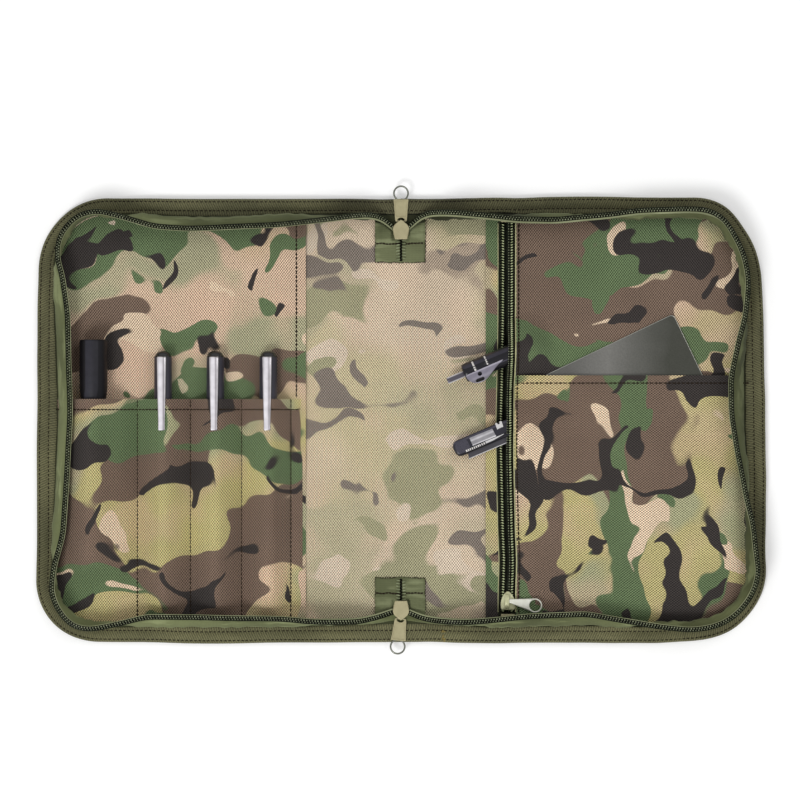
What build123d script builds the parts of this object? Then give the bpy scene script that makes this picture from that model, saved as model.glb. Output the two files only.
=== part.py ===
"""Zip-around organiser case for hand tools, opened flat, with the tools in its pockets.

Frame: the case lies open on its outer shell. +X runs along the opened width, +Y up the
pages, +Z out of the inner faces. The origin is under the middle of the spine. Millimetres.
"""
from build123d import *
import os
from math import cos, radians, sin, tan

os.makedirs("parts", exist_ok=True)

# ---------------------------------------------------------------- case
open_width = 434.0  # both covers and the spine, laid flat
case_height = 265.0
corner_radius = 42.0
spine_width = 32.0  # between the two fold lines
fold_gap = 0.5  # slit between two panels at a fold line

shell_thickness = 0.7  # coated outer fabric
shell_hem_thickness = 0.4  # its seam allowance, inside the binding
pad_thickness = 2.4  # foam board
lining_thickness = 0.5
binding_width = 8.0
binding_thickness = 0.6
binding_fold = 1.0  # thickness of the binding round the raw edge
zip_tape_thickness = 0.3
tape_sewn_width = 5.0  # how far the zip tape reaches in under the binding
zip_wall_thickness = 0.6
fabric_thickness = 0.7  # pockets and panels
flap_thickness = 0.5
sewing_clearance = 0.3  # an inner panel's edge to the zip tape

fold_x = spine_width / 2
left_edge_x = -open_width / 2
top_edge_y = case_height / 2
bottom_edge_y = -case_height / 2
lining_top = shell_thickness + shell_hem_thickness + pad_thickness + lining_thickness
lining_low = lining_top - lining_thickness
tape_top = lining_top + zip_tape_thickness
stack_top = tape_top + binding_thickness  # the fold axes lie at this height
wall_inset = binding_width + zip_wall_thickness
inner_inset = wall_inset + sewing_clearance

# ---------------------------------------------------------------- main zip
coil_width = 2.0
coil_height = 2.2
coil_meeting_gap = 0.5  # between the two coils when the case is shut
mitre_start = 2.0  # the standing tape starts this far from a fold line
coil_top = stack_top + fold_x - coil_meeting_gap / 2
wall_top = coil_top - coil_height
coil_inset = binding_width + zip_wall_thickness / 2 - coil_width / 2

# ---------------------------------------------------------------- main sliders and pulls
slider_half_width = 4.85
slider_tail_half_width = 4.0
slider_inset = 19.5  # its shoulders, from the case's edge
slider_tail_length = 5.8
slider_nose_length = 5.9
slider_shoulder_y = top_edge_y - slider_inset
slider_tail_y = slider_shoulder_y - slider_tail_length
slider_nose_y = slider_shoulder_y + slider_nose_length
slider_nose_bend = (3.0, slider_shoulder_y + 3.6)  # a point on the curve from shoulder to nose
slider_plate = 1.2  # the back plate that shows
slider_front_plate = 0.6
slider_floor_gap = 0.15  # under the front plate
slider_front_low = lining_top + slider_floor_gap
slider_front_end_y = slider_shoulder_y + 4.0
slider_mouth_y = slider_shoulder_y + 0.2  # the front plate is forked from here out, round the eye
ear_inner_half = 2.6
ear_thickness = 0.8
ear_half_length = 1.75
ear_side_clearance = 0.6
pin_radius = 0.7
pin_clearance = 0.3
eye_wall = 0.6
eye_end_gap = 0.3  # between the eye and each ear
eye_rise_gap = 0.15  # between the eye and the slider's back plate
pull_thickness = 1.2
pull_bed_gap = 0.25  # between a pull and the binding that it lies on
pull_reach = 19.1  # pin to the middle of the finger hole
pull_root_half_width = 3.3
pull_root = ear_half_length + 1.1  # pin to where the pull widens, clear of the ears
pull_overlap = 0.4  # the neck runs this far into the eye and the blade
pull_end_radius = 4.65
pull_hole_radius = 3.7
pin_y = slider_shoulder_y + 2.5
pin_z = stack_top + pull_bed_gap + pull_thickness / 2
eye_radius = pin_radius + pin_clearance + eye_wall
slider_back_low = pin_z + eye_radius + eye_rise_gap
bottom_pull_tilt = 6.0  # degrees, the lower pull lies askew
main_slider_travel = 5.0

# ---------------------------------------------------------------- end tabs of the main zip
tab_width = 29.8
tab_low_y = slider_shoulder_y - 19.5
tab_high_y = slider_shoulder_y + 5.0
tab_sewn_end_y = slider_shoulder_y - 6.5
slider_tape_gap = 0.1  # between the front plate and the tape over it
tab_tape_low = slider_front_low + slider_front_plate + slider_tape_gap
tab_fork_y = slider_shoulder_y - 0.2  # from here out the tape is parted round the slider's ears
tab_fork_half_width = ear_inner_half + ear_thickness + ear_side_clearance
closed_coil_width = 6.0
closed_coil_end_y = slider_shoulder_y - 0.5
closed_coil_height = 1.65
closed_coil_setback = 1.0
coil_end_start = (5.2, slider_shoulder_y + 1.2)
coil_end_finish = (15.4, slider_shoulder_y + 7.2)

# ---------------------------------------------------------------- left cover: flap and sleeves
flap_reach = 160.5  # from the case's left edge to the flap's free edge
flap_edge_x = left_edge_x + flap_reach
flap_gap = 0.05  # the flap lies on the lining
flap_low = lining_top + flap_gap
sleeve_height = 145.0  # from the case's bottom edge
sleeve_setback = 2.0  # from the flap's free edge
sleeve_top_y = bottom_edge_y + sleeve_height
sleeve_edge_x = flap_edge_x - sleeve_setback
sleeve_lean = radians(30)  # how far a sleeve's flank leans from upright
bed_clearance = 0.25  # under and around a tool
sleeve_end_clearance = 2.0
sleeve_low = flap_low + flap_thickness

# ---------------------------------------------------------------- capped pens and the marker
pen_insets = (76.0, 107.0, 138.4)  # from the case's left edge
pen_x = [left_edge_x + inset for inset in pen_insets]
pen_radius = 5.25
pen_neck_radius = 4.4
pen_length = 140.0
pen_foot_height = 33.5  # over the case's bottom edge
pen_foot_y = bottom_edge_y + pen_foot_height
pen_top_y = pen_foot_y + pen_length
pen_cap_length = 55.0
pen_neck_length = 24.0
pen_point_length = 14.0
pen_point_radius = 1.2
cap_fit = 0.08  # radial clearance of a cap on its barrel
cap_crown = 1.6
clip_width = 5.2
clip_end_width = 3.6
clip_length = 43.5
clip_thickness = 0.9
clip_drop_y = 3.5  # from the cap's top to the clip's root
clip_offset_x = -0.6

marker_inset = 35.0
marker_x = left_edge_x + marker_inset
marker_radius = 8.25
marker_body_radius = 7.2
marker_neck_radius = 6.0
marker_length = 125.0
marker_foot_height = 55.1
marker_foot_y = bottom_edge_y + marker_foot_height
marker_top_y = marker_foot_y + marker_length
marker_cap_length = 38.0
marker_neck_length = 22.0
marker_taper_length = 9.0
marker_cap_edge = 0.5
pen_travel = 40.0
cap_travel = 30.0

# ---------------------------------------------------------------- right cover: pocket zip
strip_setback = 34.3  # from the fold line
strip_width = 7.4
strip_low_x = fold_x + strip_setback
strip_high_x = strip_low_x + strip_width
strip_thickness = 0.7
pocket_zip_setback = 5.4
pocket_zip_x = strip_high_x + pocket_zip_setback  # middle of the pocket's zip
pocket_zip_opening = 4.8  # between the middles of its two coils
pocket_coil_width = 2.0
pocket_coil_height = 1.4
pocket_tape_width = 5.4
pocket_zip_top_inset = 13.5
pocket_zip_low_inset = 18.5
pocket_zip_top_y = top_edge_y - pocket_zip_top_inset
pocket_zip_low_y = bottom_edge_y + pocket_zip_low_inset
stop_length = 3.0
stop_overhang = 0.3  # a stop is this much wider than the coil, each side
pocket_tape_lift = 0.85  # room under the tape for the slider's front plate
pocket_tape_low = lining_top + pocket_tape_lift
pocket_tape_top = pocket_tape_low + zip_tape_thickness
pocket_coil_top = pocket_tape_top + pocket_coil_height
coil_clearance = 0.2  # over the coils of the pocket's zip
left_coil_x = pocket_zip_x - pocket_zip_opening / 2
right_coil_x = pocket_zip_x + pocket_zip_opening / 2

pocket_slider_rise = 7.0  # over the lower end of the zip
pocket_slider_y = pocket_zip_low_y + pocket_slider_rise
pocket_slider_half_length = 5.6
pocket_slider_half_width = 4.6
pocket_slider_plate = 1.0
pocket_slider_corner = 1.8
pocket_slider_inset = 0.2  # the front plate is this much smaller all round
pocket_eye_gap = 0.3  # between the eye and the slider's plate
pocket_ear_rise = 1.1  # from the pin's middle to the top of the ears
pocket_pin_z = pocket_coil_top + coil_clearance + pocket_slider_plate + eye_radius + pocket_eye_gap
pocket_pull_reach = 16.6
pocket_pull_end_radius = 4.2
pocket_pull_hole_radius = 3.4
pocket_pull_dip = -10.0  # degrees that the pull points below the +X direction
pocket_post_width = 1.6
pocket_post_length = 2.2
pocket_post_setback = 0.5  # from the slider's upper end
pocket_slider_travel = 77.0

# ---------------------------------------------------------------- right cover: panel and patch pocket
panel_setback = 5.1  # from the middle of the zip
panel_edge_x = pocket_zip_x + panel_setback
panel_low = pocket_tape_top
panel_top = panel_low + fabric_thickness
patch_setback = 0.8  # from the panel's edge
patch_height = 159.0  # from the case's bottom edge
patch_edge_x = panel_edge_x + patch_setback
patch_top_y = bottom_edge_y + patch_height
patch_low = panel_top
drape_lean = radians(30)  # how far the panel's flank leans where it falls off a tool
card_clearance = 0.25
card_thickness = 0.8
patch_thickness = 2 * card_clearance + card_thickness + fabric_thickness

# ---------------------------------------------------------------- tools in the zip pocket
tool_bed = pocket_coil_top + coil_clearance  # they lie across the left coil
click_pen_reach = 25.8  # from the middle of the zip to where the barrel starts
click_pen_rise = 0.8  # from the patch pocket's top edge
click_pen_start = (pocket_zip_x - click_pen_reach, patch_top_y + click_pen_rise)
click_pen_angle = 23.0
click_pen_radius = 5.7
click_pen_length = 44.0
click_pen_point_length = 8.0
click_pen_point_radius = 3.2
button_radius = 2.0
button_length = 10.8
button_depth = 12.0  # how far its stem goes into the barrel
button_travel = 3.0
button_edge = 0.4
button_end_gap = 1.0  # left under the stem when the button is pressed
click_clip_start = 1.0
click_clip_length = 27.0
click_clip_width = 6.4
click_clip_end_width = 2.2
click_clip_thickness = 0.8
click_clip_gap = 0.1  # over the barrel
clip_root_inset = 0.5  # a clip's root is this much narrower each side
click_clip_side = -1.4  # it sits towards one flank of the barrel
click_clip_root_length = 5.0
click_pen_travel = 45.0

pocket_tool_reach = 31.7
pocket_tool_drop = 44.5  # below the patch pocket's top edge
pocket_tool_start = (pocket_zip_x - pocket_tool_reach, patch_top_y - pocket_tool_drop)
pocket_tool_angle = 23.0
pocket_tool_length = 48.0
pocket_tool_width = 9.8
pocket_tool_height = 7.0
pocket_tool_corner = 4.0  # radius of its rounded ends
pocket_tool_edge = 1.2  # radius of its top edge
plate_start = 11.0
plate_length = 16.0
plate_width = 6.4
plate_thickness = 0.4
side_bar_start = 6.0
side_bar_length = 40.0
side_bar_width = 3.0
side_bar_height = 1.6
side_bar_edge = 0.3  # bevel
latch_start = 28.5
latch_length = 4.0
latch_width = 3.4
latch_height = 0.9
latch_setback = 1.2  # from the body's upper side
pocket_tool_travel = 45.0

# ---------------------------------------------------------------- flat steel card in the patch pocket
card_length = 85.6
card_width = 54.0
card_corner = 2.5
card_setback = 65.6  # its middle, from the patch pocket's side
card_drop = 6.3  # and from the patch pocket's top edge
card_centre = (patch_edge_x + card_setback, patch_top_y - card_drop)
card_turn = 25.6
card_travel = 45.0


low_aligned = (Align.CENTER, Align.CENTER, Align.MIN)  # centred across, standing on its floor


def save(piece, name):
    """Label one finished sub-part and write it."""
    piece.part.label = name
    export_step(piece.part, f"parts/{name}.step")


# ================================================================ layers of the case
sides = {
    "left": (-open_width / 2, -fold_x - fold_gap / 2),
    "spine": (-fold_x + fold_gap / 2, fold_x - fold_gap / 2),
    "right": (fold_x + fold_gap / 2, open_width / 2),
}


def keep_between(low_x, high_x):
    """Trim the sketch in hand to a band of X."""
    with Locations(((low_x + high_x) / 2, 0)):
        Rectangle(high_x - low_x, case_height, mode=Mode.INTERSECT)


def case_area(inset, low_x, high_x):
    """The case's outline drawn in by inset, between two X."""
    RectangleRounded(open_width - 2 * inset, case_height - 2 * inset, corner_radius - inset)
    keep_between(low_x, high_x)


def case_ring(outer_inset, inner_inset_here, low_x, high_x):
    """The band between two insets of the case's outline, between two X."""
    RectangleRounded(
        open_width - 2 * outer_inset, case_height - 2 * outer_inset, corner_radius - outer_inset
    )
    RectangleRounded(
        open_width - 2 * inner_inset_here,
        case_height - 2 * inner_inset_here,
        corner_radius - inner_inset_here,
        mode=Mode.SUBTRACT,
    )
    keep_between(low_x, high_x)


def mitre_cut(side):
    """Cut the standing zip tape back at 45 degrees, so that it clears the spine when folded."""
    way = -1 if side == "left" else 1
    rise = coil_top - stack_top + 1
    with BuildSketch(Plane.XZ) as wedge:
        Polygon(
            (0, stack_top),
            (way * (fold_x + mitre_start), stack_top),
            (way * (fold_x + mitre_start + rise), stack_top + rise),
            (0, stack_top + rise),
            align=None,
        )
    extrude(wedge.sketch, amount=case_height, both=True, mode=Mode.SUBTRACT)


for side, (low_x, high_x) in sides.items():
    with BuildPart() as shell:
        with BuildSketch():
            case_area(binding_width, low_x, high_x)
        extrude(amount=shell_thickness)
        with BuildSketch(Plane.XY.offset(shell_thickness)):
            case_area(binding_fold, low_x, high_x)
        extrude(amount=shell_hem_thickness)
    save(shell, f"{side}_shell")

    with BuildPart() as pad:
        with BuildSketch(Plane.XY.offset(shell_thickness + shell_hem_thickness)):
            case_area(binding_fold, low_x, high_x)
        extrude(amount=pad_thickness)
    save(pad, f"{side}_pad")

    with BuildPart() as lining:
        with BuildSketch(Plane.XY.offset(lining_low)):
            case_area(binding_fold, low_x, high_x)
        extrude(amount=lining_thickness)
    save(lining, f"{side}_lining")

    with BuildPart() as binding:
        with BuildSketch():
            case_ring(0, binding_width, low_x, high_x)
        extrude(amount=shell_thickness)
        with BuildSketch(Plane.XY.offset(shell_thickness)):
            case_ring(0, binding_fold, low_x, high_x)
        extrude(amount=tape_top - shell_thickness)
        with BuildSketch(Plane.XY.offset(tape_top)):
            case_ring(0, binding_width, low_x, high_x)
        extrude(amount=binding_thickness)
    save(binding, f"{side}_binding")

    # the zip tape: sewn flat under the binding, and on the covers standing up inside it
    with BuildPart() as zip_tape:
        with BuildSketch(Plane.XY.offset(lining_top)):
            case_ring(binding_width - tape_sewn_width, wall_inset, low_x, high_x)
        extrude(amount=zip_tape_thickness)
        if side != "spine":
            with BuildSketch(Plane.XY.offset(lining_top)):
                case_ring(binding_width, wall_inset, low_x, high_x)
            extrude(amount=wall_top - lining_top)
            mitre_cut(side)
    save(zip_tape, f"{side}_zip_tape")

for side in ("left", "right"):
    low_x, high_x = sides[side]
    with BuildPart() as zip_coil:
        with BuildSketch(Plane.XY.offset(wall_top)):
            case_ring(coil_inset, coil_inset + coil_width, low_x, high_x)
        extrude(amount=coil_height)
        mitre_cut(side)
    save(zip_coil, f"{side}_zip_coil")

# ================================================================ ends of the main zip, on the spine
for place, way in (("top", 1), ("bottom", -1)):
    with BuildPart() as tab:
        with Locations((0, way * (tab_low_y + tab_high_y) / 2, tab_tape_low)):
            Box(
                tab_width,
                tab_high_y - tab_low_y,
                zip_tape_thickness,
                align=low_aligned,
            )
        with Locations((0, way * (tab_fork_y + tab_high_y) / 2, tab_tape_low)):
            Box(
                2 * tab_fork_half_width,
                tab_high_y - tab_fork_y,
                zip_tape_thickness,
                align=low_aligned,
                mode=Mode.SUBTRACT,
            )
        with Locations((0, way * (tab_low_y + tab_sewn_end_y) / 2, lining_top)):
            Box(
                tab_width,
                tab_sewn_end_y - tab_low_y,
                tab_tape_low - lining_top,
                align=low_aligned,
            )
    save(tab, f"{place}_tab")

    with BuildPart() as tab_coil:
        with BuildSketch(Plane.XY.offset(tab_tape_low + zip_tape_thickness)):
            with Locations((0, way * (tab_low_y + closed_coil_end_y) / 2)):
                Rectangle(closed_coil_width, closed_coil_end_y - tab_low_y - closed_coil_setback)
            for hand in (-1, 1):
                with BuildLine():
                    coil_run = Line(
                        (hand * coil_end_start[0], way * coil_end_start[1]),
                        (hand * coil_end_finish[0], way * coil_end_finish[1]),
                    )
                with Locations(Location(coil_run @ 0.5, coil_run.tangent_angle_at(0.5))):
                    Rectangle(coil_run.length - coil_width, coil_width)
        extrude(amount=closed_coil_height)
    save(tab_coil, f"{place}_tab_coil")

# ================================================================ sliders and pulls
def add_pin_ears(low_z, top_z, centre, across):
    """Two ears and the pin between them. The pin runs along X if across, or else along Y."""
    ear_middle = ear_inner_half + ear_thickness / 2
    ear_length = 2 * ear_half_length
    for hand in (-1, 1):
        offset = (hand * ear_middle, 0) if across else (0, hand * ear_middle)
        size = (ear_thickness, ear_length) if across else (ear_length, ear_thickness)
        with Locations((centre[0] + offset[0], centre[1] + offset[1], low_z)):
            Box(*size, top_z - low_z, align=low_aligned)
    axle = Rotation(0, 90, 0) if across else Rotation(90, 0, 0)
    with Locations(Location(centre) * axle):
        Cylinder(pin_radius, 2 * ear_inner_half + ear_thickness)


def add_pull(pin, heading, reach, end_radius, hole_radius):
    """A tapered pull from its eye on a pin to the finger hole, lying flat, along heading."""
    low_z = pin[2] - pull_thickness / 2
    along = Plane(origin=(pin[0], pin[1], low_z), x_dir=heading, z_dir=(0, 0, 1))
    with BuildSketch(along) as outline:
        with BuildLine():
            Polyline(
                (pull_root, -pull_root_half_width),
                (reach, -end_radius),
                (reach, end_radius),
                (pull_root, pull_root_half_width),
                close=True,
            )
        make_face()
        with Locations((reach, 0)):
            Circle(end_radius)
            Circle(hole_radius, mode=Mode.SUBTRACT)
        with Locations((pull_root / 2, 0)):
            Rectangle(pull_root + pull_overlap, 2 * (ear_inner_half - ear_side_clearance))
    extrude(outline.sketch, amount=pull_thickness)


for place, way in (("top", 1), ("bottom", -1)):
    with BuildPart() as slider:
        with BuildSketch(Plane.XY.offset(slider_back_low)):
            with BuildLine():
                tail = Line(
                    (slider_tail_half_width, way * slider_tail_y),
                    (-slider_tail_half_width, way * slider_tail_y),
                )
                left_flank = Line(tail @ 1, (-slider_half_width, way * slider_shoulder_y))
                left_nose = ThreePointArc(
                    left_flank @ 1,
                    (-slider_nose_bend[0], way * slider_nose_bend[1]),
                    (0, way * slider_nose_y),
                )
                right_nose = ThreePointArc(
                    left_nose @ 1,
                    (slider_nose_bend[0], way * slider_nose_bend[1]),
                    (slider_half_width, way * slider_shoulder_y),
                )
                Line(right_nose @ 1, tail @ 0)
            make_face()
        extrude(amount=slider_plate)
        with BuildSketch(Plane.XY.offset(slider_front_low)):
            with Locations((0, way * (slider_tail_y + slider_front_end_y) / 2)):
                Rectangle(2 * slider_tail_half_width, slider_front_end_y - slider_tail_y)
            with Locations((0, way * (slider_mouth_y + slider_front_end_y) / 2)):
                Rectangle(
                    2 * ear_inner_half, slider_front_end_y - slider_mouth_y, mode=Mode.SUBTRACT
                )
        extrude(amount=slider_front_plate)
        add_pin_ears(slider_front_low, slider_back_low, (0, way * pin_y, pin_z), True)
    save(slider, f"{place}_slider")

    tilt = radians(0 if place == "top" else bottom_pull_tilt)
    with BuildPart() as pull:
        add_pull(
            (0, way * pin_y, pin_z),
            (-sin(tilt), way * cos(tilt), 0),
            pull_reach,
            pull_end_radius,
            pull_hole_radius,
        )
        with Locations(Location((0, way * pin_y, pin_z)) * Rotation(0, 90, 0)):
            Cylinder(eye_radius, 2 * (ear_inner_half - eye_end_gap))
            Cylinder(pin_radius + pin_clearance, 2 * ear_inner_half, mode=Mode.SUBTRACT)
    save(pull, f"{place}_pull")

# ================================================================ left cover: flap and pen sleeves
def flank_half_width(radius, rise, lean):
    """Half width of a tent tangent to a round tool, at a height rise above its middle."""
    return (radius - rise * sin(lean)) / cos(lean)


def add_tent(section, centre, radius, half_flat, floor_z, lean, start, length, mode=Mode.ADD):
    """A tent-shaped prism over a tool. centre is the tool's middle across and up the section."""
    rise = floor_z - centre[1]
    base = flank_half_width(radius, rise, lean) + half_flat
    crown = flank_half_width(radius, radius, lean) + half_flat
    with BuildSketch(section.offset(start)) as profile:
        Polygon(
            (centre[0] - base, floor_z),
            (centre[0] - crown, centre[1] + radius),
            (centre[0] + crown, centre[1] + radius),
            (centre[0] + base, floor_z),
            align=None,
        )
    extrude(profile.sketch, amount=length, mode=mode)


tool_floor = sleeve_low + bed_clearance
sleeved = [(x, pen_radius, pen_foot_y) for x in pen_x]
sleeved.append((marker_x, marker_radius, marker_foot_y))

with BuildPart() as left_flap:
    with BuildSketch(Plane.XY.offset(flap_low)):
        case_area(inner_inset, sides["left"][0], flap_edge_x)
    extrude(amount=flap_thickness)
save(left_flap, "left_flap")

with BuildPart() as pen_sleeves:
    with BuildSketch(Plane.XY.offset(sleeve_low)):
        case_area(inner_inset, sides["left"][0], sleeve_edge_x)
        with Locations((0, sleeve_top_y)):
            Rectangle(
                open_width,
                case_height,
                align=(Align.CENTER, Align.MAX),
                mode=Mode.INTERSECT,
            )
    extrude(amount=fabric_thickness)
    sleeve_section = Plane.XZ.offset(-sleeve_top_y)  # it faces down the page
    for x, radius, end_y in sleeved:
        inside_length = sleeve_top_y - end_y + sleeve_end_clearance
        middle = (x, tool_floor + radius)
        add_tent(
            sleeve_section,
            middle,
            radius + bed_clearance + fabric_thickness,
            0,
            sleeve_low,
            sleeve_lean,
            0,
            inside_length + fabric_thickness,
        )
    for x, radius, end_y in sleeved:
        inside_length = sleeve_top_y - end_y + sleeve_end_clearance
        middle = (x, tool_floor + radius)
        add_tent(
            sleeve_section,
            middle,
            radius + bed_clearance,
            0,
            sleeve_low,
            sleeve_lean,
            0,
            inside_length,
            mode=Mode.SUBTRACT,
        )
save(pen_sleeves, "pen_sleeves")

# ================================================================ capped pens
def add_rod(x, y_high, z, radius, length, mode=Mode.ADD):
    """A round bar along Y from y_high downwards."""
    with BuildSketch(Plane.XZ.offset(-y_high)) as end:
        with Locations((x, z)):
            Circle(radius)
    extrude(end.sketch, amount=length, mode=mode)


pen_z = tool_floor + pen_radius
for number, x in enumerate(pen_x, start=1):
    neck_top_y = pen_top_y - pen_cap_length + pen_neck_length
    barrel_low_y = pen_foot_y + pen_point_length
    with BuildPart() as barrel:
        add_rod(x, neck_top_y, pen_z, pen_neck_radius, pen_neck_length)
        add_rod(x, pen_top_y - pen_cap_length, pen_z, pen_radius, pen_top_y - pen_cap_length - barrel_low_y)
        with BuildSketch(Plane.XZ.offset(-barrel_low_y)):
            with Locations((x, pen_z)):
                Circle(pen_radius)
        with BuildSketch(Plane.XZ.offset(pen_point_length - barrel_low_y)):
            with Locations((x, pen_z)):
                Circle(pen_point_radius)
        loft()
    save(barrel, f"pen_{number}_barrel")

    with BuildPart() as cap:
        add_rod(x, pen_top_y, pen_z, pen_radius, pen_cap_length)
        chamfer(cap.faces().sort_by(Axis.Y)[-1].edges(), cap_crown)
        add_rod(
            x,
            neck_top_y + cap_fit,
            pen_z,
            pen_neck_radius + cap_fit,
            pen_neck_length + cap_fit,
            mode=Mode.SUBTRACT,
        )
    save(cap, f"pen_{number}_cap")

    clip_low = pen_z + pen_radius + bed_clearance + fabric_thickness + bed_clearance
    with BuildPart() as clip:
        clip_top_y = pen_top_y - clip_drop_y
        with BuildSketch(Plane.XY.offset(clip_low)):
            with BuildLine():
                Polyline(
                    (x + clip_offset_x - clip_width / 2, clip_top_y),
                    (x + clip_offset_x + clip_width / 2, clip_top_y),
                    (x + clip_offset_x + clip_end_width / 2, clip_top_y - clip_length),
                    (x + clip_offset_x - clip_end_width / 2, clip_top_y - clip_length),
                    close=True,
                )
            make_face()
        extrude(amount=clip_thickness)
        # the root, standing on the cap above the sleeve's mouth
        with Locations((x + clip_offset_x, clip_top_y - clip_width / 2, clip_low)):
            Box(
                clip_width - 2 * clip_root_inset,
                clip_width,
                clip_low - pen_z,
                align=(Align.CENTER, Align.CENTER, Align.MAX),
            )
        add_rod(x, pen_top_y, pen_z, pen_radius, pen_cap_length, mode=Mode.SUBTRACT)
    save(clip, f"pen_{number}_clip")

# ================================================================ marker
marker_z = tool_floor + marker_radius
marker_neck_top_y = marker_top_y - marker_cap_length + marker_neck_length
with BuildPart() as marker_barrel:
    add_rod(marker_x, marker_neck_top_y, marker_z, marker_neck_radius, marker_neck_length)
    add_rod(
        marker_x,
        marker_top_y - marker_cap_length,
        marker_z,
        marker_body_radius,
        marker_length - marker_cap_length,
    )
    chamfer(marker_barrel.faces().sort_by(Axis.Y)[0].edges(), cap_crown)
save(marker_barrel, "marker_barrel")

with BuildPart() as marker_cap:
    add_rod(marker_x, marker_top_y, marker_z, marker_radius, marker_cap_length - marker_taper_length)
    with BuildSketch(Plane.XZ.offset(marker_cap_length - marker_taper_length - marker_top_y)):
        with Locations((marker_x, marker_z)):
            Circle(marker_radius)
    with BuildSketch(Plane.XZ.offset(marker_cap_length - marker_top_y)):
        with Locations((marker_x, marker_z)):
            Circle(marker_body_radius)
    loft()
    chamfer(marker_cap.faces().sort_by(Axis.Y)[-1].edges(), marker_cap_edge)
    add_rod(
        marker_x,
        marker_neck_top_y + cap_fit,
        marker_z,
        marker_neck_radius + cap_fit,
        marker_neck_length + cap_fit,
        mode=Mode.SUBTRACT,
    )
save(marker_cap, "marker_cap")

# ================================================================ tools in the zip pocket
def tool_section(start, angle):
    """The plane across a tool that points along angle: its x is sideways, its y is up."""
    a = radians(angle)
    return Plane(origin=(*start, 0), x_dir=(-sin(a), cos(a), 0), z_dir=(cos(a), sin(a), 0))


click_section = tool_section(click_pen_start, click_pen_angle)
click_z = tool_bed + click_pen_radius
button_bore_depth = button_depth + button_travel + button_end_gap
with BuildPart() as click_barrel:
    straight_length = click_pen_length - click_pen_point_length
    with BuildSketch(click_section):
        with Locations((0, click_z)):
            Circle(click_pen_radius)
    extrude(amount=straight_length)
    with BuildSketch(click_section.offset(straight_length)):
        with Locations((0, click_z)):
            Circle(click_pen_radius)
    with BuildSketch(click_section.offset(click_pen_length)):
        with Locations((0, click_z)):
            Circle(click_pen_point_radius)
    loft()
    with BuildSketch(click_section):
        with Locations((0, click_z)):
            Circle(button_radius + cap_fit)
    extrude(amount=button_bore_depth, mode=Mode.SUBTRACT)
save(click_barrel, "click_pen_barrel")

with BuildPart() as click_button:
    with BuildSketch(click_section.offset(-button_length)):
        with Locations((0, click_z)):
            Circle(button_radius)
    extrude(amount=button_length + button_depth)
    chamfer(click_button.faces().sort_by(Axis.X)[0].edges(), button_edge)
save(click_button, "click_pen_button")

clip_bed_z = click_z + click_pen_radius + click_clip_gap
click_top = Plane(origin=(*click_pen_start, clip_bed_z), x_dir=click_section.z_dir, z_dir=(0, 0, 1))
with BuildPart() as click_clip:
    with BuildSketch(click_top):
        with BuildLine():
            Polyline(
                (click_clip_start, click_clip_side - click_clip_width / 2),
                (click_clip_start, click_clip_side + click_clip_width / 2),
                (click_clip_start + click_clip_length, click_clip_end_width / 2),
                (click_clip_start + click_clip_length, -click_clip_end_width / 2),
                close=True,
            )
        make_face()
    extrude(amount=click_clip_thickness)
    with BuildSketch(click_top):
        with Locations((click_clip_start + click_clip_root_length / 2, click_clip_side)):
            Rectangle(click_clip_root_length, click_clip_width - 2 * clip_root_inset)
    extrude(amount=-click_pen_radius)
    with BuildSketch(click_section):
        with Locations((0, click_z)):
            Circle(click_pen_radius)
    extrude(amount=click_pen_length, mode=Mode.SUBTRACT)
save(click_clip, "click_pen_clip")

# the pocket tool: a moulded body, a bright plate on it, a steel bar along its lower side
pocket_section = tool_section(pocket_tool_start, pocket_tool_angle)
pocket_tool_bed = Plane(
    origin=(*pocket_tool_start, tool_bed), x_dir=pocket_section.z_dir, z_dir=(0, 0, 1)
)
pocket_tool_top = pocket_tool_bed.offset(pocket_tool_height)
with BuildPart() as tool_body:
    with BuildSketch(pocket_tool_bed):
        with Locations((pocket_tool_length / 2, 0)):
            RectangleRounded(pocket_tool_length, pocket_tool_width, pocket_tool_corner)
    extrude(amount=pocket_tool_height)
    fillet(tool_body.faces().sort_by(Axis.Z)[-1].edges(), pocket_tool_edge)
    with BuildSketch(pocket_tool_top):
        with Locations((plate_start + plate_length / 2, 0)):
            Rectangle(plate_length, plate_width)
    extrude(amount=-plate_thickness, mode=Mode.SUBTRACT)
save(tool_body, "pocket_tool_body")

with BuildPart() as tool_plate:
    with BuildSketch(pocket_tool_top.offset(-plate_thickness)):
        with Locations((plate_start + plate_length / 2, 0)):
            Rectangle(plate_length, plate_width)
    extrude(amount=plate_thickness)
save(tool_plate, "pocket_tool_plate")

with BuildPart() as tool_bar:
    with BuildSketch(pocket_tool_bed):
        with Locations(
            (side_bar_start + side_bar_length / 2, -pocket_tool_width / 2 - side_bar_width / 2)
        ):
            Rectangle(side_bar_length, side_bar_width)
    extrude(amount=side_bar_height)
    chamfer(tool_bar.faces().sort_by(Axis.Z)[-1].edges(), side_bar_edge)
save(tool_bar, "pocket_tool_bar")

with BuildPart() as tool_latch:
    latch_side = pocket_tool_width / 2 - latch_width / 2 - latch_setback
    with BuildSketch(pocket_tool_top):
        with Locations((latch_start + latch_length / 2, latch_side)):
            Rectangle(latch_length, latch_width)
    extrude(amount=latch_height)
save(tool_latch, "pocket_tool_latch")

# ================================================================ right cover: zip, panel, patch pocket
pocket_tool_round = pocket_tool_height / 2
bedded = [
    # section, middle height, radius of the draped round, flat width each side, length
    (click_section, click_z, click_pen_radius, 0, click_pen_length),
    (
        pocket_section,
        tool_bed + pocket_tool_round,
        pocket_tool_round,
        pocket_tool_width / 2 - flank_half_width(pocket_tool_round, pocket_tool_round, drape_lean),
        pocket_tool_length,
    ),
]


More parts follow.
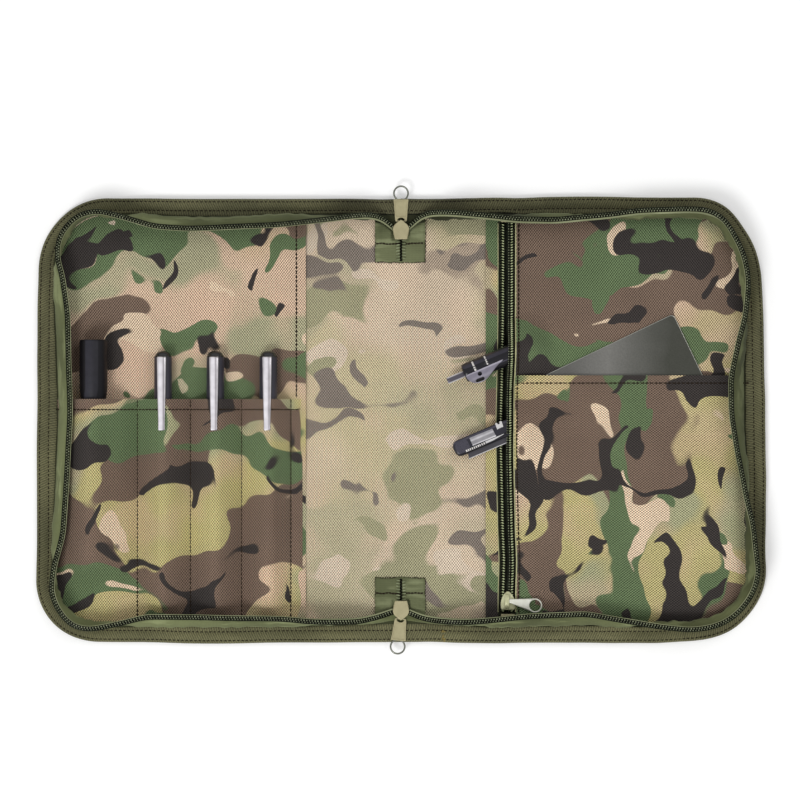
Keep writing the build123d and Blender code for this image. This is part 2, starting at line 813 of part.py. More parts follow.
def add_drape(floor_z, thickness, lift, tools):
    """Raise the sheet in hand, whose underside is floor_z, over the tools below it."""
    for section, centre_z, radius, half_flat, length in tools:
        add_tent(
            section,
            (0, centre_z),
            radius + bed_clearance + lift + thickness,
            half_flat,
            floor_z,
            drape_lean,
            0,
            length + bed_clearance + lift + thickness,
        )
    for section, centre_z, radius, half_flat, length in tools:
        add_tent(
            section,
            (0, centre_z),
            radius + bed_clearance + lift,
            half_flat,
            floor_z,
            drape_lean,
            0,
            length + bed_clearance + lift,
            mode=Mode.SUBTRACT,
        )


trim_height = 4 * coil_top  # taller than anything in the case


def keep_box(low_x, high_x, low_y, high_y):
    """Trim the piece in hand to a range of X and Y."""
    with Locations(((low_x + high_x) / 2, (low_y + high_y) / 2, 0)):
        Box(high_x - low_x, high_y - low_y, trim_height, mode=Mode.INTERSECT)


with BuildPart() as strip:
    with BuildSketch(Plane.XY.offset(flap_low)):
        case_area(inner_inset, strip_low_x, left_coil_x + pocket_coil_width / 2 - pocket_tape_width)
    extrude(amount=pocket_tape_top - flap_low)
    with BuildSketch(Plane.XY.offset(pocket_tape_top)):
        case_area(inner_inset, strip_low_x, strip_high_x)
    extrude(amount=flap_thickness)
save(strip, "pocket_strip")

pocket_zip_length = pocket_zip_top_y - pocket_zip_low_y
pocket_zip_middle_y = (pocket_zip_top_y + pocket_zip_low_y) / 2
for hand, coil_x, place in ((-1, left_coil_x, "left"), (1, right_coil_x, "right")):
    tape_x = coil_x + hand * (pocket_tape_width - pocket_coil_width) / 2
    with BuildPart() as pocket_tape:
        with Locations((tape_x, pocket_zip_middle_y, pocket_tape_low)):
            Box(pocket_tape_width, pocket_zip_length, zip_tape_thickness, align=low_aligned)
        if place == "right":
            add_drape(pocket_tape_low, zip_tape_thickness, 0, bedded)
            keep_box(
                tape_x - pocket_tape_width / 2,
                tape_x + pocket_tape_width / 2,
                pocket_zip_low_y,
                pocket_zip_top_y,
            )
    save(pocket_tape, f"pocket_{place}_tape")

    with BuildPart() as pocket_coil:
        with Locations((coil_x, pocket_zip_middle_y, pocket_tape_top)):
            Box(pocket_coil_width, pocket_zip_length, pocket_coil_height, align=low_aligned)
        if place == "right":
            add_drape(pocket_tape_top, pocket_coil_height, zip_tape_thickness, bedded)
            keep_box(
                coil_x - pocket_coil_width / 2,
                coil_x + pocket_coil_width / 2,
                pocket_zip_low_y,
                pocket_zip_top_y,
            )
    save(pocket_coil, f"pocket_{place}_coil")

with BuildPart() as stops:
    for coil_x in (left_coil_x, right_coil_x):
        with Locations((coil_x, pocket_zip_top_y + stop_length / 2, pocket_tape_low)):
            Box(
                pocket_coil_width + 2 * stop_overhang,
                stop_length,
                pocket_coil_top - pocket_tape_low,
                align=low_aligned,
            )
    with Locations((pocket_zip_x, pocket_zip_low_y - stop_length / 2, pocket_tape_low)):
        Box(
            pocket_zip_opening + pocket_coil_width,
            stop_length,
            pocket_coil_top - pocket_tape_low,
            align=low_aligned,
        )
save(stops, "pocket_zip_stops")

with BuildPart() as panel:
    with BuildSketch(Plane.XY.offset(panel_low)):
        case_area(inner_inset, panel_edge_x, sides["right"][1])
    extrude(amount=fabric_thickness)
    add_drape(panel_low, fabric_thickness, zip_tape_thickness, bedded)
    keep_box(panel_edge_x, sides["right"][1], -case_height / 2, case_height / 2)
save(panel, "pocket_panel")

card_plane = Plane.XY.offset(panel_top + card_clearance)
card_turned = radians(card_turn)
with BuildPart() as card:
    with BuildSketch(card_plane):
        with Locations(card_centre):
            RectangleRounded(card_length, card_width, card_corner, rotation=card_turn)
    extrude(amount=card_thickness)
save(card, "steel_card")

# the patch pocket has a slot that the card slides out of, up the page
half_long = card_length / 2 + card_clearance
half_wide = card_width / 2 + card_clearance
card_corners = [
    (
        card_centre[0] + along * half_long * cos(card_turned) - across * half_wide * sin(card_turned),
        card_centre[1] + along * half_long * sin(card_turned) + across * half_wide * cos(card_turned),
    )
    for along, across in ((-1, 1), (-1, -1), (1, -1))
]
with BuildPart() as patch:
    with BuildSketch(Plane.XY.offset(patch_low)):
        case_area(inner_inset, patch_edge_x, sides["right"][1])
    extrude(amount=patch_thickness)
    add_drape(patch_low, fabric_thickness, zip_tape_thickness + fabric_thickness, bedded[1:])
    with BuildSketch(Plane.XY.offset(patch_low)):
        Polygon(
            (card_corners[0][0], case_height / 2),
            *card_corners,
            (card_corners[2][0], case_height / 2),
            align=None,
        )
    extrude(amount=patch_thickness - fabric_thickness, mode=Mode.SUBTRACT)
    keep_box(patch_edge_x, sides["right"][1], -case_height / 2, patch_top_y)
save(patch, "patch_pocket")

# ================================================================ slider of the pocket zip
pocket_slider_centre = (pocket_zip_x, pocket_slider_y)
pocket_pin = (pocket_zip_x, pocket_slider_y, pocket_pin_z)
slider_top_low = pocket_coil_top + coil_clearance
slider_front_top = slider_front_low + slider_front_plate
with BuildPart() as pocket_slider:
    with BuildSketch(Plane.XY.offset(slider_top_low)):
        with Locations(pocket_slider_centre):
            RectangleRounded(
                2 * pocket_slider_half_width, 2 * pocket_slider_half_length, pocket_slider_corner
            )
    extrude(amount=pocket_slider_plate)
    with BuildSketch(Plane.XY.offset(slider_front_low)):
        with Locations(pocket_slider_centre):
            Rectangle(
                2 * (pocket_slider_half_width - pocket_slider_inset),
                2 * (pocket_slider_half_length - pocket_slider_inset),
            )
    extrude(amount=slider_front_plate)
    post_y = pocket_slider_y + pocket_slider_half_length - pocket_post_setback - pocket_post_length / 2
    with Locations((pocket_zip_x, post_y, slider_front_top)):
        Box(
            pocket_post_width,
            pocket_post_length,
            slider_top_low - slider_front_top,
            align=low_aligned,
        )
    add_pin_ears(
        slider_top_low + pocket_slider_plate, pocket_pin_z + pocket_ear_rise, pocket_pin, False
    )
save(pocket_slider, "pocket_slider")

dip = radians(pocket_pull_dip)
with BuildPart() as pocket_pull:
    add_pull(
        pocket_pin,
        (cos(dip), sin(dip), 0),
        pocket_pull_reach,
        pocket_pull_end_radius,
        pocket_pull_hole_radius,
    )
    with Locations(Location(pocket_pin) * Rotation(90, 0, 0)):
        Cylinder(eye_radius, 2 * (ear_inner_half - eye_end_gap))
        Cylinder(pin_radius + pin_clearance, 2 * ear_inner_half, mode=Mode.SUBTRACT)
save(pocket_pull, "pocket_pull")
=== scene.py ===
"""Looks of the zip-around tool organiser case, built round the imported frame.

Shapes are worked out in millimetres and become metres in add_mesh and plate. Cloth carries its
flat coordinates in the UV map "cut", so that print and weave stay put when a cover folds.
"""
import math
from statistics import NormalDist

import bmesh
import bpy
import numpy as np
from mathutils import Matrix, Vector


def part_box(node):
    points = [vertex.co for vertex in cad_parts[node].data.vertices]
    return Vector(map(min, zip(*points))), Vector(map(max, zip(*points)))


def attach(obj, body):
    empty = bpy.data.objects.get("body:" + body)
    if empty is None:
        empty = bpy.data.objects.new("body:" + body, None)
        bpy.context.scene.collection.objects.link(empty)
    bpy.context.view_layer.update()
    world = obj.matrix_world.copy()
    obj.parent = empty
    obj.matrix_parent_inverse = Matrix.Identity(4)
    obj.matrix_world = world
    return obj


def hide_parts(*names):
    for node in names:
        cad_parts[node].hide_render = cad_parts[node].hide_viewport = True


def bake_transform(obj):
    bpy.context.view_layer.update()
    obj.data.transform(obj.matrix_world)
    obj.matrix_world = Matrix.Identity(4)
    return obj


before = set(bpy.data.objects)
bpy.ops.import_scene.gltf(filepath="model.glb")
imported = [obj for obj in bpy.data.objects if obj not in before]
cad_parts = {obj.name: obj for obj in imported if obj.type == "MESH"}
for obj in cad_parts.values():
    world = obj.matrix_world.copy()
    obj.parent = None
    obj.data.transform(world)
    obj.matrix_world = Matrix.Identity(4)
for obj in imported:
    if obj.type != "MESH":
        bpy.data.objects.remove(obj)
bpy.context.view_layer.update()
scene = bpy.context.scene

MM = 0.001
TAU = 2 * math.pi
WAY = {"left": -1, "right": 1}  # which way from the spine each half lies
ENDS = (("top", 1), ("bottom", -1))


def low(node):
    return np.array(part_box(node)[0]) / MM


def high(node):
    return np.array(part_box(node)[1]) / MM


def middle(node):
    return (low(node) + high(node)) / 2


HALF_WIDTH = -low("left_binding")[0]
HALF_HEIGHT = high("left_binding")[1]
LINING_TOP = high("left_lining")[2]
CHAIN_LOW = low("left_zip_coil")[2]
FLAP_EDGE = high("left_flap")[0]
SLEEVE_TOP, SLEEVE_END = high("pen_sleeves")[1], high("pen_sleeves")[0]
PANEL_EDGE = low("pocket_panel")[0]
PATCH_EDGE, PATCH_TOP = low("patch_pocket")[0], high("patch_pocket")[1]
STRIP_LOW = low("pocket_strip")[0]
STRIP_HIGH = STRIP_LOW + 7.4


# ------------------------------------------------------------------ numbers
def places(*parts):
    """Coordinates put side by side, one row for each place."""
    return np.stack(np.broadcast_arrays(*parts), axis=-1).reshape(-1, len(parts)).astype(float)


def unit(rows):
    return rows / np.linalg.norm(rows, axis=-1, keepdims=True)


def run_of(line):
    """The distance along a polyline at each of its points."""
    return np.r_[0, np.cumsum(np.linalg.norm(np.diff(line, axis=0), axis=1))]


def at_run(s, run, line):
    """The rows of line at distances s along it."""
    return np.column_stack([np.interp(s, run, column) for column in line.T])


def soft_noise(x, y, size, seed):
    """Smooth undulation between about -1 and 1, whose bumps are about size across."""
    waves = 9
    rng = np.random.default_rng(seed)
    total = np.zeros(np.broadcast(x, y).shape)
    for _ in range(waves):
        angle = rng.uniform(0, TAU)
        pitch = size * rng.uniform(0.7, 1.9)
        phase = rng.uniform(0, TAU)
        total = total + np.sin(TAU * (np.cos(angle) * x + np.sin(angle) * y) / pitch + phase)
    return total / math.sqrt(waves)


def smooth_step(start, end, x):
    t = np.clip((np.asarray(x, float) - start) / (end - start), 0, 1)
    return t * t * (3 - 2 * t)


def bump(x, centre, width):
    return np.exp(-(((np.asarray(x, float) - centre) / width) ** 2))


def smooth_curve(values, rounds):
    values = np.array(values, float)
    for _ in range(rounds):
        values[1:-1] = (values[:-2] + 2 * values[1:-1] + values[2:]) / 4
    return values


def spaced(start, end, step, fine_start=0.0, fine_end=0.0, fine=0.6):
    """Places from start to end, closer together over the first and last millimetres."""
    way, length, at = (1 if end > start else -1), abs(end - start), 0.0
    marks = [start]
    while at < length - 1e-6:
        near = at < fine_start or length - at <= fine_end
        jump = fine if near else step
        if not near and length - (at + jump) < fine_end:
            jump = max(fine, length - fine_end - at)
        at = min(length, at + jump)
        marks.append(start + way * at)
    return np.array(marks)


# ------------------------------------------------------------------ meshes
def put(name, data, material=None):
    obj = bpy.data.objects.new(name, data)
    scene.collection.objects.link(obj)
    if material:
        data.materials.append(material)
    return obj


def lay_cut(mesh, flat):
    """The UV map cut, from each vertex's flat place in metres."""
    corners = np.empty(len(mesh.loops), np.int32)
    mesh.loops.foreach_get("vertex_index", corners)
    layer = mesh.uv_layers.new(name="cut")
    layer.data.foreach_set("uv", flat[corners].astype(np.float32).ravel())


def vertices_of(mesh):
    flat = np.empty(len(mesh.vertices) * 3)
    mesh.vertices.foreach_get("co", flat)
    return flat.reshape(-1, 3)


def add_mesh(name, verts, faces, material, cut=None):
    """A mesh object from millimetres. cut is each vertex's flat place, or else its place in plan."""
    mesh = bpy.data.meshes.new(name)
    mesh.from_pydata((verts * MM).tolist(), [], faces)
    lay_cut(mesh, (verts[:, :2] if cut is None else cut) * MM)
    mesh.polygons.foreach_set("use_smooth", [True] * len(mesh.polygons))
    mesh.update()
    return put(name, mesh, material)


def grid_faces(rows, cols, wrap=False):
    """Quads of a rows x cols grid of vertices. wrap joins the last column to the first."""
    faces = []
    for i in range(0, (rows - 1) * cols, cols):
        for j in range(cols if wrap else cols - 1):
            k = (j + 1) % cols
            faces.append((i + j, i + k, i + cols + k, i + cols + j))
    return faces


def tube_faces(rows, ring):
    """A tube of rings, closed at both ends."""
    last = (rows - 1) * ring
    return grid_faces(rows, ring, True) + [tuple(range(ring)), tuple(range(last + ring - 1, last - 1, -1))]


def merged(parts):
    """Several (verts, faces) put together as one."""
    faces, count = [], 0
    for verts, own in parts:
        faces += [tuple(i + count for i in face) for face in own]
        count += len(verts)
    return np.concatenate([verts for verts, _ in parts]), faces


def face_up(obj, above=0.0):
    """Turn an open sheet so that its faces look up, going by those above a height."""
    if sum(p.normal.z * p.area for p in obj.data.polygons if p.center.z > above * MM) < 0:
        obj.data.flip_normals()
    return obj


def face_out(obj):
    """Make a closed mesh's normals point outwards."""
    bm = bmesh.new()
    bm.from_mesh(obj.data)
    bmesh.ops.recalc_face_normals(bm, faces=bm.faces)
    bm.to_mesh(obj.data)
    bm.free()
    return obj


def fold(obj):
    """Bakes the piece's transform into its mesh."""
    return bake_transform(obj)


def finish_piece(obj, nodes, body=None, side=None):
    """What every piece needs: what it stands for, and what it moves with."""
    if nodes:
        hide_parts(*nodes)
    if body:
        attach(obj, body)
    if side:
        fold(obj)
    return obj


# ------------------------------------------------------------------ material nodes
class Nodes:
    """Short spellings for one material's node tree."""

    def __init__(self, name):
        self.material = bpy.data.materials.new(name)
        self.material.use_nodes = True
        self.tree = self.material.node_tree
        self.shader = self.tree.nodes["Principled BSDF"]

    def feed(self, socket, value):
        if isinstance(value, bpy.types.NodeSocket):
            self.tree.links.new(value, socket)
        elif value is not None:
            if socket.type == "RGBA" and len(value) == 3:
                value = (*value, 1.0)
            socket.default_value = value

    def add(self, kind, inputs=(), **settings):
        node = self.tree.nodes.new("ShaderNode" + kind)
        for key, value in settings.items():
            setattr(node, key, value)
        for key, value in dict(inputs).items():
            self.feed(node.inputs[key], value)
        return node

    def mapped(self, vector, scale=(1, 1, 1), place=(0, 0, 0), turn=0.0):
        inputs = {"Vector": vector, "Location": place, "Scale": scale, "Rotation": (0, 0, turn)}
        return self.add("Mapping", inputs).outputs[0]

    def cut(self, **mapping):
        uv = self.add("UVMap", uv_map="cut").outputs[0]
        return self.mapped(uv, **mapping) if mapping else uv

    def solid(self, scale=(1, 1, 1)):
        return self.mapped(self.add("TexCoord").outputs["Object"], scale)

    def math(self, operation, *values):
        return self.add("Math", enumerate(values), operation=operation).outputs[0]

    def times(self, a, b, plus=None):
        """a times b, or a times b plus that."""
        return self.math("MULTIPLY", a, b) if plus is None else self.math("MULTIPLY_ADD", a, b, plus)

    def less(self, a, b):
        return self.math("SUBTRACT", a, b)

    def vector(self, operation, a, b):
        node = self.add("VectorMath", {0: a, 1: b}, operation=operation)
        return node.outputs["Value" if operation == "DOT_PRODUCT" else "Vector"]

    def mix(self, factor, a, b):
        node = self.add("Mix", {"Factor": factor}, data_type="RGBA")
        self.feed(node.inputs["A"], a)
        self.feed(node.inputs["B"], b)
        return node.outputs["Result"]

    def noise(self, vector, scale, detail=2.0, roughness=0.5, colour=False, kind="2D"):
        inputs = {"Vector": vector, "Scale": scale, "Detail": detail, "Roughness": roughness}
        return self.add("TexNoise", inputs, noise_dimensions=kind).outputs["Color" if colour else "Fac"]

    def grain(self, vector, scale, detail):
        """Noise through the whole of a hard piece."""
        return self.noise(vector, scale, detail, kind="3D")

    def span(self, value, start, end, to_start=0.0, to_end=1.0, kind="LINEAR"):
        inputs = {"Value": value, "From Min": start, "From Max": end, "To Min": to_start, "To Max": to_end}
        return self.add("MapRange", inputs, interpolation_type=kind).outputs["Result"]

    def edge(self, value, level, width):
        """0 under the level and 1 over it, with a soft edge of that width."""
        return self.span(value, level - width, level + width, kind="SMOOTHSTEP")

    def between(self, value, start, end, width):
        return self.times(self.edge(value, start, width), self.less(1.0, self.edge(value, end, width)))

    def split(self, vector):
        return self.add("SeparateXYZ", {0: vector}).outputs

    def ripple(self, vector, pitch, angle):
        """A sine wave over the cloth, pitch in millimetres, along an angle in degrees."""
        k, a = TAU / (pitch * MM), math.radians(angle)
        return self.math("SINE", self.vector("DOT_PRODUCT", vector, (k * math.cos(a), k * math.sin(a), 0)))

    def shaded(self, colour, shade):
        grey = self.add("CombineXYZ", dict.fromkeys(range(3), shade)).outputs[0]
        return self.vector("MULTIPLY", colour, grey)

    def finish(self, colour, rough, height=None, depth=0.0002, **sockets):
        """depth is how deep the height's relief goes, in metres."""
        self.feed(self.shader.inputs["Base Color"], colour)
        self.feed(self.shader.inputs["Roughness"], rough)
        for key, value in sockets.items():
            self.feed(self.shader.inputs[key.replace("_", " ")], value)
        if height is not None:
            node = self.add("Bump", {"Height": height, "Strength": 1.0, "Distance": depth})
            self.feed(self.shader.inputs["Normal"], node.outputs[0])
        return self.material


def srgb(*colour):
    """A colour as it should look, 0 to 255, as the linear value that nodes take."""
    shares = [c / 255 for c in colour]
    return tuple(c / 12.92 if c <= 0.04045 else ((c + 0.055) / 1.055) ** 2.4 for c in shares)


def darker(colour, share):
    return tuple(c * share for c in colour)


# ------------------------------------------------------------------ cloth materials
FACE = {name: srgb(*colour) for name, colour in {
    "tan": (192, 167, 143), "khaki": (172, 162, 112), "sage": (150, 151, 120), "green": (90, 107, 74),
    "brown": (108, 90, 77), "cream": (204, 182, 156), "dark": (50, 45, 43), "blush": (196, 164, 142),
}.items()}
REVERSE = {name: srgb(*colour) for name, colour in {
    "tan": (194, 176, 153), "khaki": (180, 168, 136), "sage": (168, 160, 132), "green": (150, 146, 116),
    "brown": (160, 144, 126), "cream": (196, 180, 160), "dark": (120, 110, 101), "blush": (200, 176, 153),
}.items()}


def weave(n, at, quarter):
    """Plain weave, about -1 to 1: two slanting waves that cross in checks, now one stronger, now the
    other. quarter is for cloth that is turned by 90 degrees."""
    pitch, angle = 1.18, 51.6 if quarter else 38.2
    one, two = n.ripple(at, pitch, angle), n.ripple(at, pitch, -angle)
    drift = n.span(n.noise(at, 13, 1.0), 0.3, 0.7, 0.36, 0.64)
    return n.times(one, drift, n.times(two, n.less(1.0, drift)))


def level_of(share):
    """The noise level that leaves about that share of the cloth above it."""
    spread = 0.14
    return 0.5 + spread * NormalDist().inv_cdf(1 - share)


def camouflage(name, colours, place, tan, sage, green, brown, cream, dark, soft=0.0, depth=0.5, quarter=False):
    """Woven cloth with a generic disruptive print: the shares say how much each colour covers."""
    n = Nodes(name)
    flat = n.cut()
    at = n.mapped(flat, place=(*place, 0), turn=math.pi / 2 if quarter else 0.0)
    half = (0.5, 0.5, 0.5)
    slow = n.vector("SUBTRACT", n.noise(at, 26, 0.0, colour=True), half)
    fast = n.vector("SUBTRACT", n.noise(at, 70, 0.0, colour=True), half)
    warped = n.vector("ADD", at, n.vector("MULTIPLY", slow, (0.030, 0.020, 0)))
    warped = n.vector("ADD", warped, n.vector("MULTIPLY", fast, (0.016, 0.009, 0)))

    def layer(scale, squeeze, offset, share, width=0.006):
        stretched = n.mapped(warped, (squeeze, 1, 1), (*offset, 0))
        return n.edge(n.noise(stretched, scale, 0.7, 0.45), level_of(share), width + soft)

    ground = n.mix(n.edge(n.noise(at, 11, 1.0), level_of(tan), 0.10), colours["khaki"], colours["tan"])
    ground = n.mix(n.times(layer(19, 0.7, (3.1, 1.7), sage, 0.06), 0.85), ground, colours["sage"])
    blush = n.edge(n.noise(at, 33, 1.0), 0.56, 0.12)
    ground = n.mix(n.times(blush, 0.35), ground, colours["blush"])
    for colour, scale, squeeze, offset, share in (
        ("brown", 21, 0.6, (7.7, 2.6), brown), ("green", 24, 0.5, (0.4, 5.2), green),
        ("cream", 40, 0.6, (4.9, 9.3), cream), ("green", 46, 0.7, (1.3, 8.8), green * 0.18),
        ("dark", 34, 0.5, (6.1, 4.4), dark * 0.75),
    ):
        ground = n.mix(layer(scale, squeeze, offset, share), ground, colours[colour])
    # thin dark branches along the noise's middle level, only where a second noise lets them be
    vein = n.less(0.058, n.math("ABSOLUTE", n.less(n.noise(warped, 24, 0.0), 0.5)))
    keep = n.less(n.noise(n.vector("ADD", warped, (0.61, 0.23, 0)), 30, 0.0), level_of(dark * 2.2))
    branch = n.edge(n.math("SMOOTH_MIN", vein, keep, 0.07), 0.0, 0.005 + soft * 0.5)
    ground = n.mix(branch, ground, colours["dark"])
    yarn = weave(n, flat, quarter)
    speck = n.less(n.noise(flat, 1100, 1.0), 0.5)
    mottle = n.span(n.noise(flat, 30), 0.3, 0.7, 0.95, 1.07)
    shade = n.times(yarn, 2 * depth, n.times(speck, 0.7, 1.0))
    colour = n.shaded(ground, n.times(shade, mottle))
    return n.finish(colour, 0.82, yarn, 0.00007, Sheen_Weight=0.1, Sheen_Roughness=0.5, Specular_IOR_Level=0.25)


def paint_light_and_shade(n, run, shade, painted_shading):
    """shade, less by a strength over each (from, to, strength) stretch in millimetres of the run: painted shade
    where the strength is above nought, painted light where it is below.
    """
    for start, end, strength in painted_shading:
        inside = n.between(run, start * MM, end * MM, 0.012)
        shade = n.times(shade, n.times(inside, -strength, 1.0))
    return shade


def webbing(name, colour, dark, painted_shading):
    """Twilled binding: slanting ribs crossed by fine picks. Its cut is (along, across); its last argument lists
    the stretches along it of painted shade and painted light.
    """
    n = Nodes(name)
    flat = n.cut()
    lean = 24  # degrees
    rib, pick = n.ripple(flat, 1.3, lean), n.ripple(flat, 0.9, 90 + lean)
    relief = n.times(rib, 0.75, n.times(pick, 0.25))
    tone = n.mix(n.span(n.noise(n.cut(scale=(1, 3, 1)), 26, 3.0), 0.3, 0.7), colour, dark)
    fine = n.less(n.noise(flat, 900, 1.0), 0.5)
    shade = n.times(relief, 0.5, n.times(fine, 0.6, 1.0))
    shade = paint_light_and_shade(n, n.split(flat)[0], shade, painted_shading)
    return n.finish(n.shaded(tone, shade), 0.85, relief, 0.0001, Specular_IOR_Level=0.3, Sheen_Weight=0.1)


def tape_cloth(name, colour, dark, light, painted_shading=(), seam=None, deep=None):
    """Plain woven zip tape. Its cut is (along, across); its fifth argument lists the stretches along it of
    painted shade and painted light. Across it, up to seam, it is painted dark as the binding's shadow, up to
    two millimetres more from the distance deep on."""
    n = Nodes(name)
    flat = n.cut()
    relief = n.times(n.ripple(flat, 1.1, 90), 0.5, n.times(n.ripple(flat, 0.8, 0), 0.5))
    tone = n.mix(n.span(n.noise(n.cut(scale=(1, 2, 1)), 18, 3.0), 0.3, 0.7), colour, dark)
    tone = n.mix(n.times(n.edge(n.noise(n.cut(scale=(1, 4, 1)), 34), 0.6, 0.1), 0.5), tone, light)
    shade = n.times(relief, 0.12, 1.0)
    if seam is not None:
        run, across = n.split(flat)[:2]
        shade = paint_light_and_shade(n, run, shade, painted_shading)
        # painted shadow of the binding across the tape's foot, two millimetres wider from deep on
        across = n.times(n.edge(run, deep * MM, 0.02), -2.0 * MM, across)
        shade = n.times(shade, n.span(across, seam * MM, (seam + 1.2) * MM, 0.3, 1.0))
    return n.finish(n.shaded(tone, shade), 0.8, relief, 0.00008, Specular_IOR_Level=0.12, Sheen_Weight=0.05)


def thread(name, colour):
    n = Nodes(name)
    tone = n.mix(n.grain(n.solid(), 900, 1.0), colour, darker(colour, 0.5))
    return n.finish(tone, 0.7, Specular_IOR_Level=0.1)


def nylon(name, colour, dark, specular=0.4):
    n = Nodes(name)
    tone = n.mix(n.span(n.grain(n.solid(), 300, 2.0), 0.35, 0.65), colour, dark)
    return n.finish(tone, 0.34, n.grain(n.solid(), 2500, 1.0), 0.00003, Specular_IOR_Level=specular)


CAMO_LEFT = camouflage("camo_left_flap", FACE, (8.35, 1.59), 0.8, 0.4, 0.2, 0.13, 0.04, 0.11)
CAMO_SLEEVES = camouflage("camo_sleeves", FACE, (10.48, 2.96), 0.12, 0.2, 0.12, 0.58, 0.05, 0.11)
CAMO_RIGHT = camouflage("camo_right_panel", FACE, (12.61, 4.33), 0.25, 0.3, 0.33, 0.64, 0.05, 0.12)
CAMO_PATCH = camouflage("camo_patch", FACE, (7.21, 6.52), 0.15, 0.15, 0.22, 0.48, 0.08, 0.18, quarter=True)
CAMO_STRIP = camouflage("camo_strip", FACE, (1.67, 8.11), 0.2, 0.3, 0.35, 0.25, 0.06, 0.1)
CAMO_SHELL = camouflage("camo_shell", FACE, (9.32, 4.71), 0.35, 0.3, 0.25, 0.25, 0.07, 0.08)
REVERSE_CLOTH = camouflage(
    "lining_reverse", REVERSE, (4.23, 2.75), 0.55, 0.35, 0.16, 0.03, 0.05, 0.06, soft=0.006, depth=0.42
)
# painted shade on the binding over its first stretch from the top slider, painted light along its lower stretch
BINDING = webbing("binding_webbing", srgb(96, 94, 66), srgb(78, 77, 53), ((-9, 42, 0.36), (470, 900, -0.26)))
# the right tape is painted darker than the left as shade; both have painted shade near the top slider (the
# right one also over a middle stretch), painted light along their lower stretch, and the binding's painted
# shadow at their foot
TAPE_BY_SIDE = {
    "left": tape_cloth(
        "zip_tape_left", srgb(108, 114, 78), srgb(88, 93, 62), srgb(140, 147, 106),
        ((-9, 45, 0.74), (45, 128, 0.3), (335, 425, -0.2), (440, 900, -0.15)), 2.6, 505,
    ),
    "right": tape_cloth(
        "zip_tape_right", srgb(96, 101, 68), srgb(72, 76, 50), srgb(132, 139, 98),
        ((-9, 75, 0.72), (270, 420, 0.2), (440, 900, -0.22)), 2.6, 525,
    ),
}
# the pocket's lining under its zip, painted near black as the shade inside the pocket
POCKET_SHADE_CLOTH = tape_cloth("zip_tape_painted_shade", srgb(34, 38, 28), srgb(22, 24, 18), srgb(46, 52, 38))
TAPE_DEEP = tape_cloth("zip_tape_deep", srgb(44, 48, 32), srgb(30, 33, 22), srgb(66, 70, 48))
TAPE_LIGHT = tape_cloth("zip_tape_edge", srgb(144, 148, 114), srgb(110, 114, 86), srgb(164, 168, 134))
TAB_CLOTH = tape_cloth("tab_cloth", srgb(108, 113, 82), srgb(82, 87, 60), srgb(140, 146, 110))
THREAD = thread("thread_dark", srgb(44, 38, 28))
THREAD_BROWN = thread("thread_brown", srgb(46, 36, 26))
THREAD_EDGE = thread("panel_edge_thread", srgb(192, 190, 146))
THREAD_FRAY = thread("thread_fray", srgb(168, 150, 88))
COIL = nylon("coil_nylon", srgb(62, 68, 46), srgb(34, 38, 24), 0.15)
# a paler copy of the coil nylon: on the main chain's loop crests it is a painted highlight; the pocket zip's
# right row of stitches takes it as their own pale colour
COIL_CREST = nylon("coil_nylon_crest", srgb(146, 152, 122), srgb(100, 106, 80))
COIL_LIGHT = nylon("coil_nylon_pale", srgb(196, 204, 160), srgb(156, 166, 122))
# the zip's core under its loops, painted near black as the shade between the loops
COIL_SHADOW = nylon("coil_core_painted_shadow", srgb(14, 17, 8), srgb(7, 9, 4), 0.05)
COIL_TAB = nylon("tab_coil_nylon", srgb(152, 160, 126), srgb(116, 124, 92), 0.2)

# ------------------------------------------------------------------ the case's outline
# how wide and how deep each rounded corner is, top then bottom
CORNERS = {"left": ((44, 44), (38, 37)), "right": ((43, 49), (66, 46))}
# how far in from the edge the zip's chain stands, along the edge from the top slider
CHAIN_INSET = {
    "left": (
        (4.5, 18.3), (8, 12.6), (14, 9.9), (20, 9.8), (40, 12.6), (72, 16.0), (125, 18.4), (146, 17.3),
        (165, 11.5), (180, 8.2), (197, 6.8), (214, 8.0), (232, 12.0), (246, 15.6), (266, 19.2),
        (330, 20.9), (358, 19.6), (398, 16.9), (418, 11.6), (434, 10.2), (452, 9.2), (468, 7.4),
        (482, 8.6), (497, 11.6), (514, 16.0), (544, 16.6), (594, 15.0), (613, 13.2), (640, 13.0),
        (653, 15.8), (660, 18.6),
    ),
    "right": (
        (4.5, 18.3), (8, 12.6), (13, 9.2), (19, 8.3), (30, 9.0), (44, 10.6), (66, 13.0), (91, 14.4),
        (122, 11.6), (140, 8.6), (165, 7.6), (200, 8.2), (225, 9.4), (250, 9.6), (268, 12.2), (282, 16.3),
        (305, 21.4), (325, 21.6), (348, 18.2), (372, 13.8), (392, 8.9), (415, 6.2), (436, 7.0),
        (460, 7.6), (485, 8.0), (510, 12.0), (545, 18.0), (580, 16.6), (615, 13.2), (634, 13.2),
        (643, 14.4), (650, 18.4),
    ),
}
# where the soft edge wanders off its drawn line: along the edge from the top, how far it
# reaches and how far out it goes
STRAYS = {
    "left": ((20, 24, -1.0), (108, 30, -0.5), (232, 55, -0.5), (330, 60, -0.5), (552, 34, 1.5)),
    "right": (
        (18, 22, -0.9), (44, 36, 0.6), (130, 40, 0.5), (192, 17, 2.4), (272, 25, 1.3),
        (448, 25, 2.6), (468, 22, 2.9), (522, 38, 0.7), (612, 24, 0.9),
    ),
}
EDGE_STEP = 2.0
CHAIN_START = 4.4  # how far from the middle of the top and the bottom edge the chain starts
CHAIN_HIGH = 5.9  # how high it stands there
TAPE_WIDTH = 20.5  # the tape's free width, from the binding to the chain
TAPE_ROOT, TAPE_FOOT = (6.9, 4.3), (9.5, 4.5)  # under the binding and where it comes out: inset and height
PIPING = {"left": 26.0, "right": 190.0}  # how far from the top the tape's light inner edge shows
OVERLAP = 25.5  # where the binding's overlapped end lies, right of the middle of the bottom edge
SEWN_IN = 10.2  # how far in from the edge the cloths' outlines lie
FLOOR_Z = 4.25  # the lowest that anything inside the case comes to


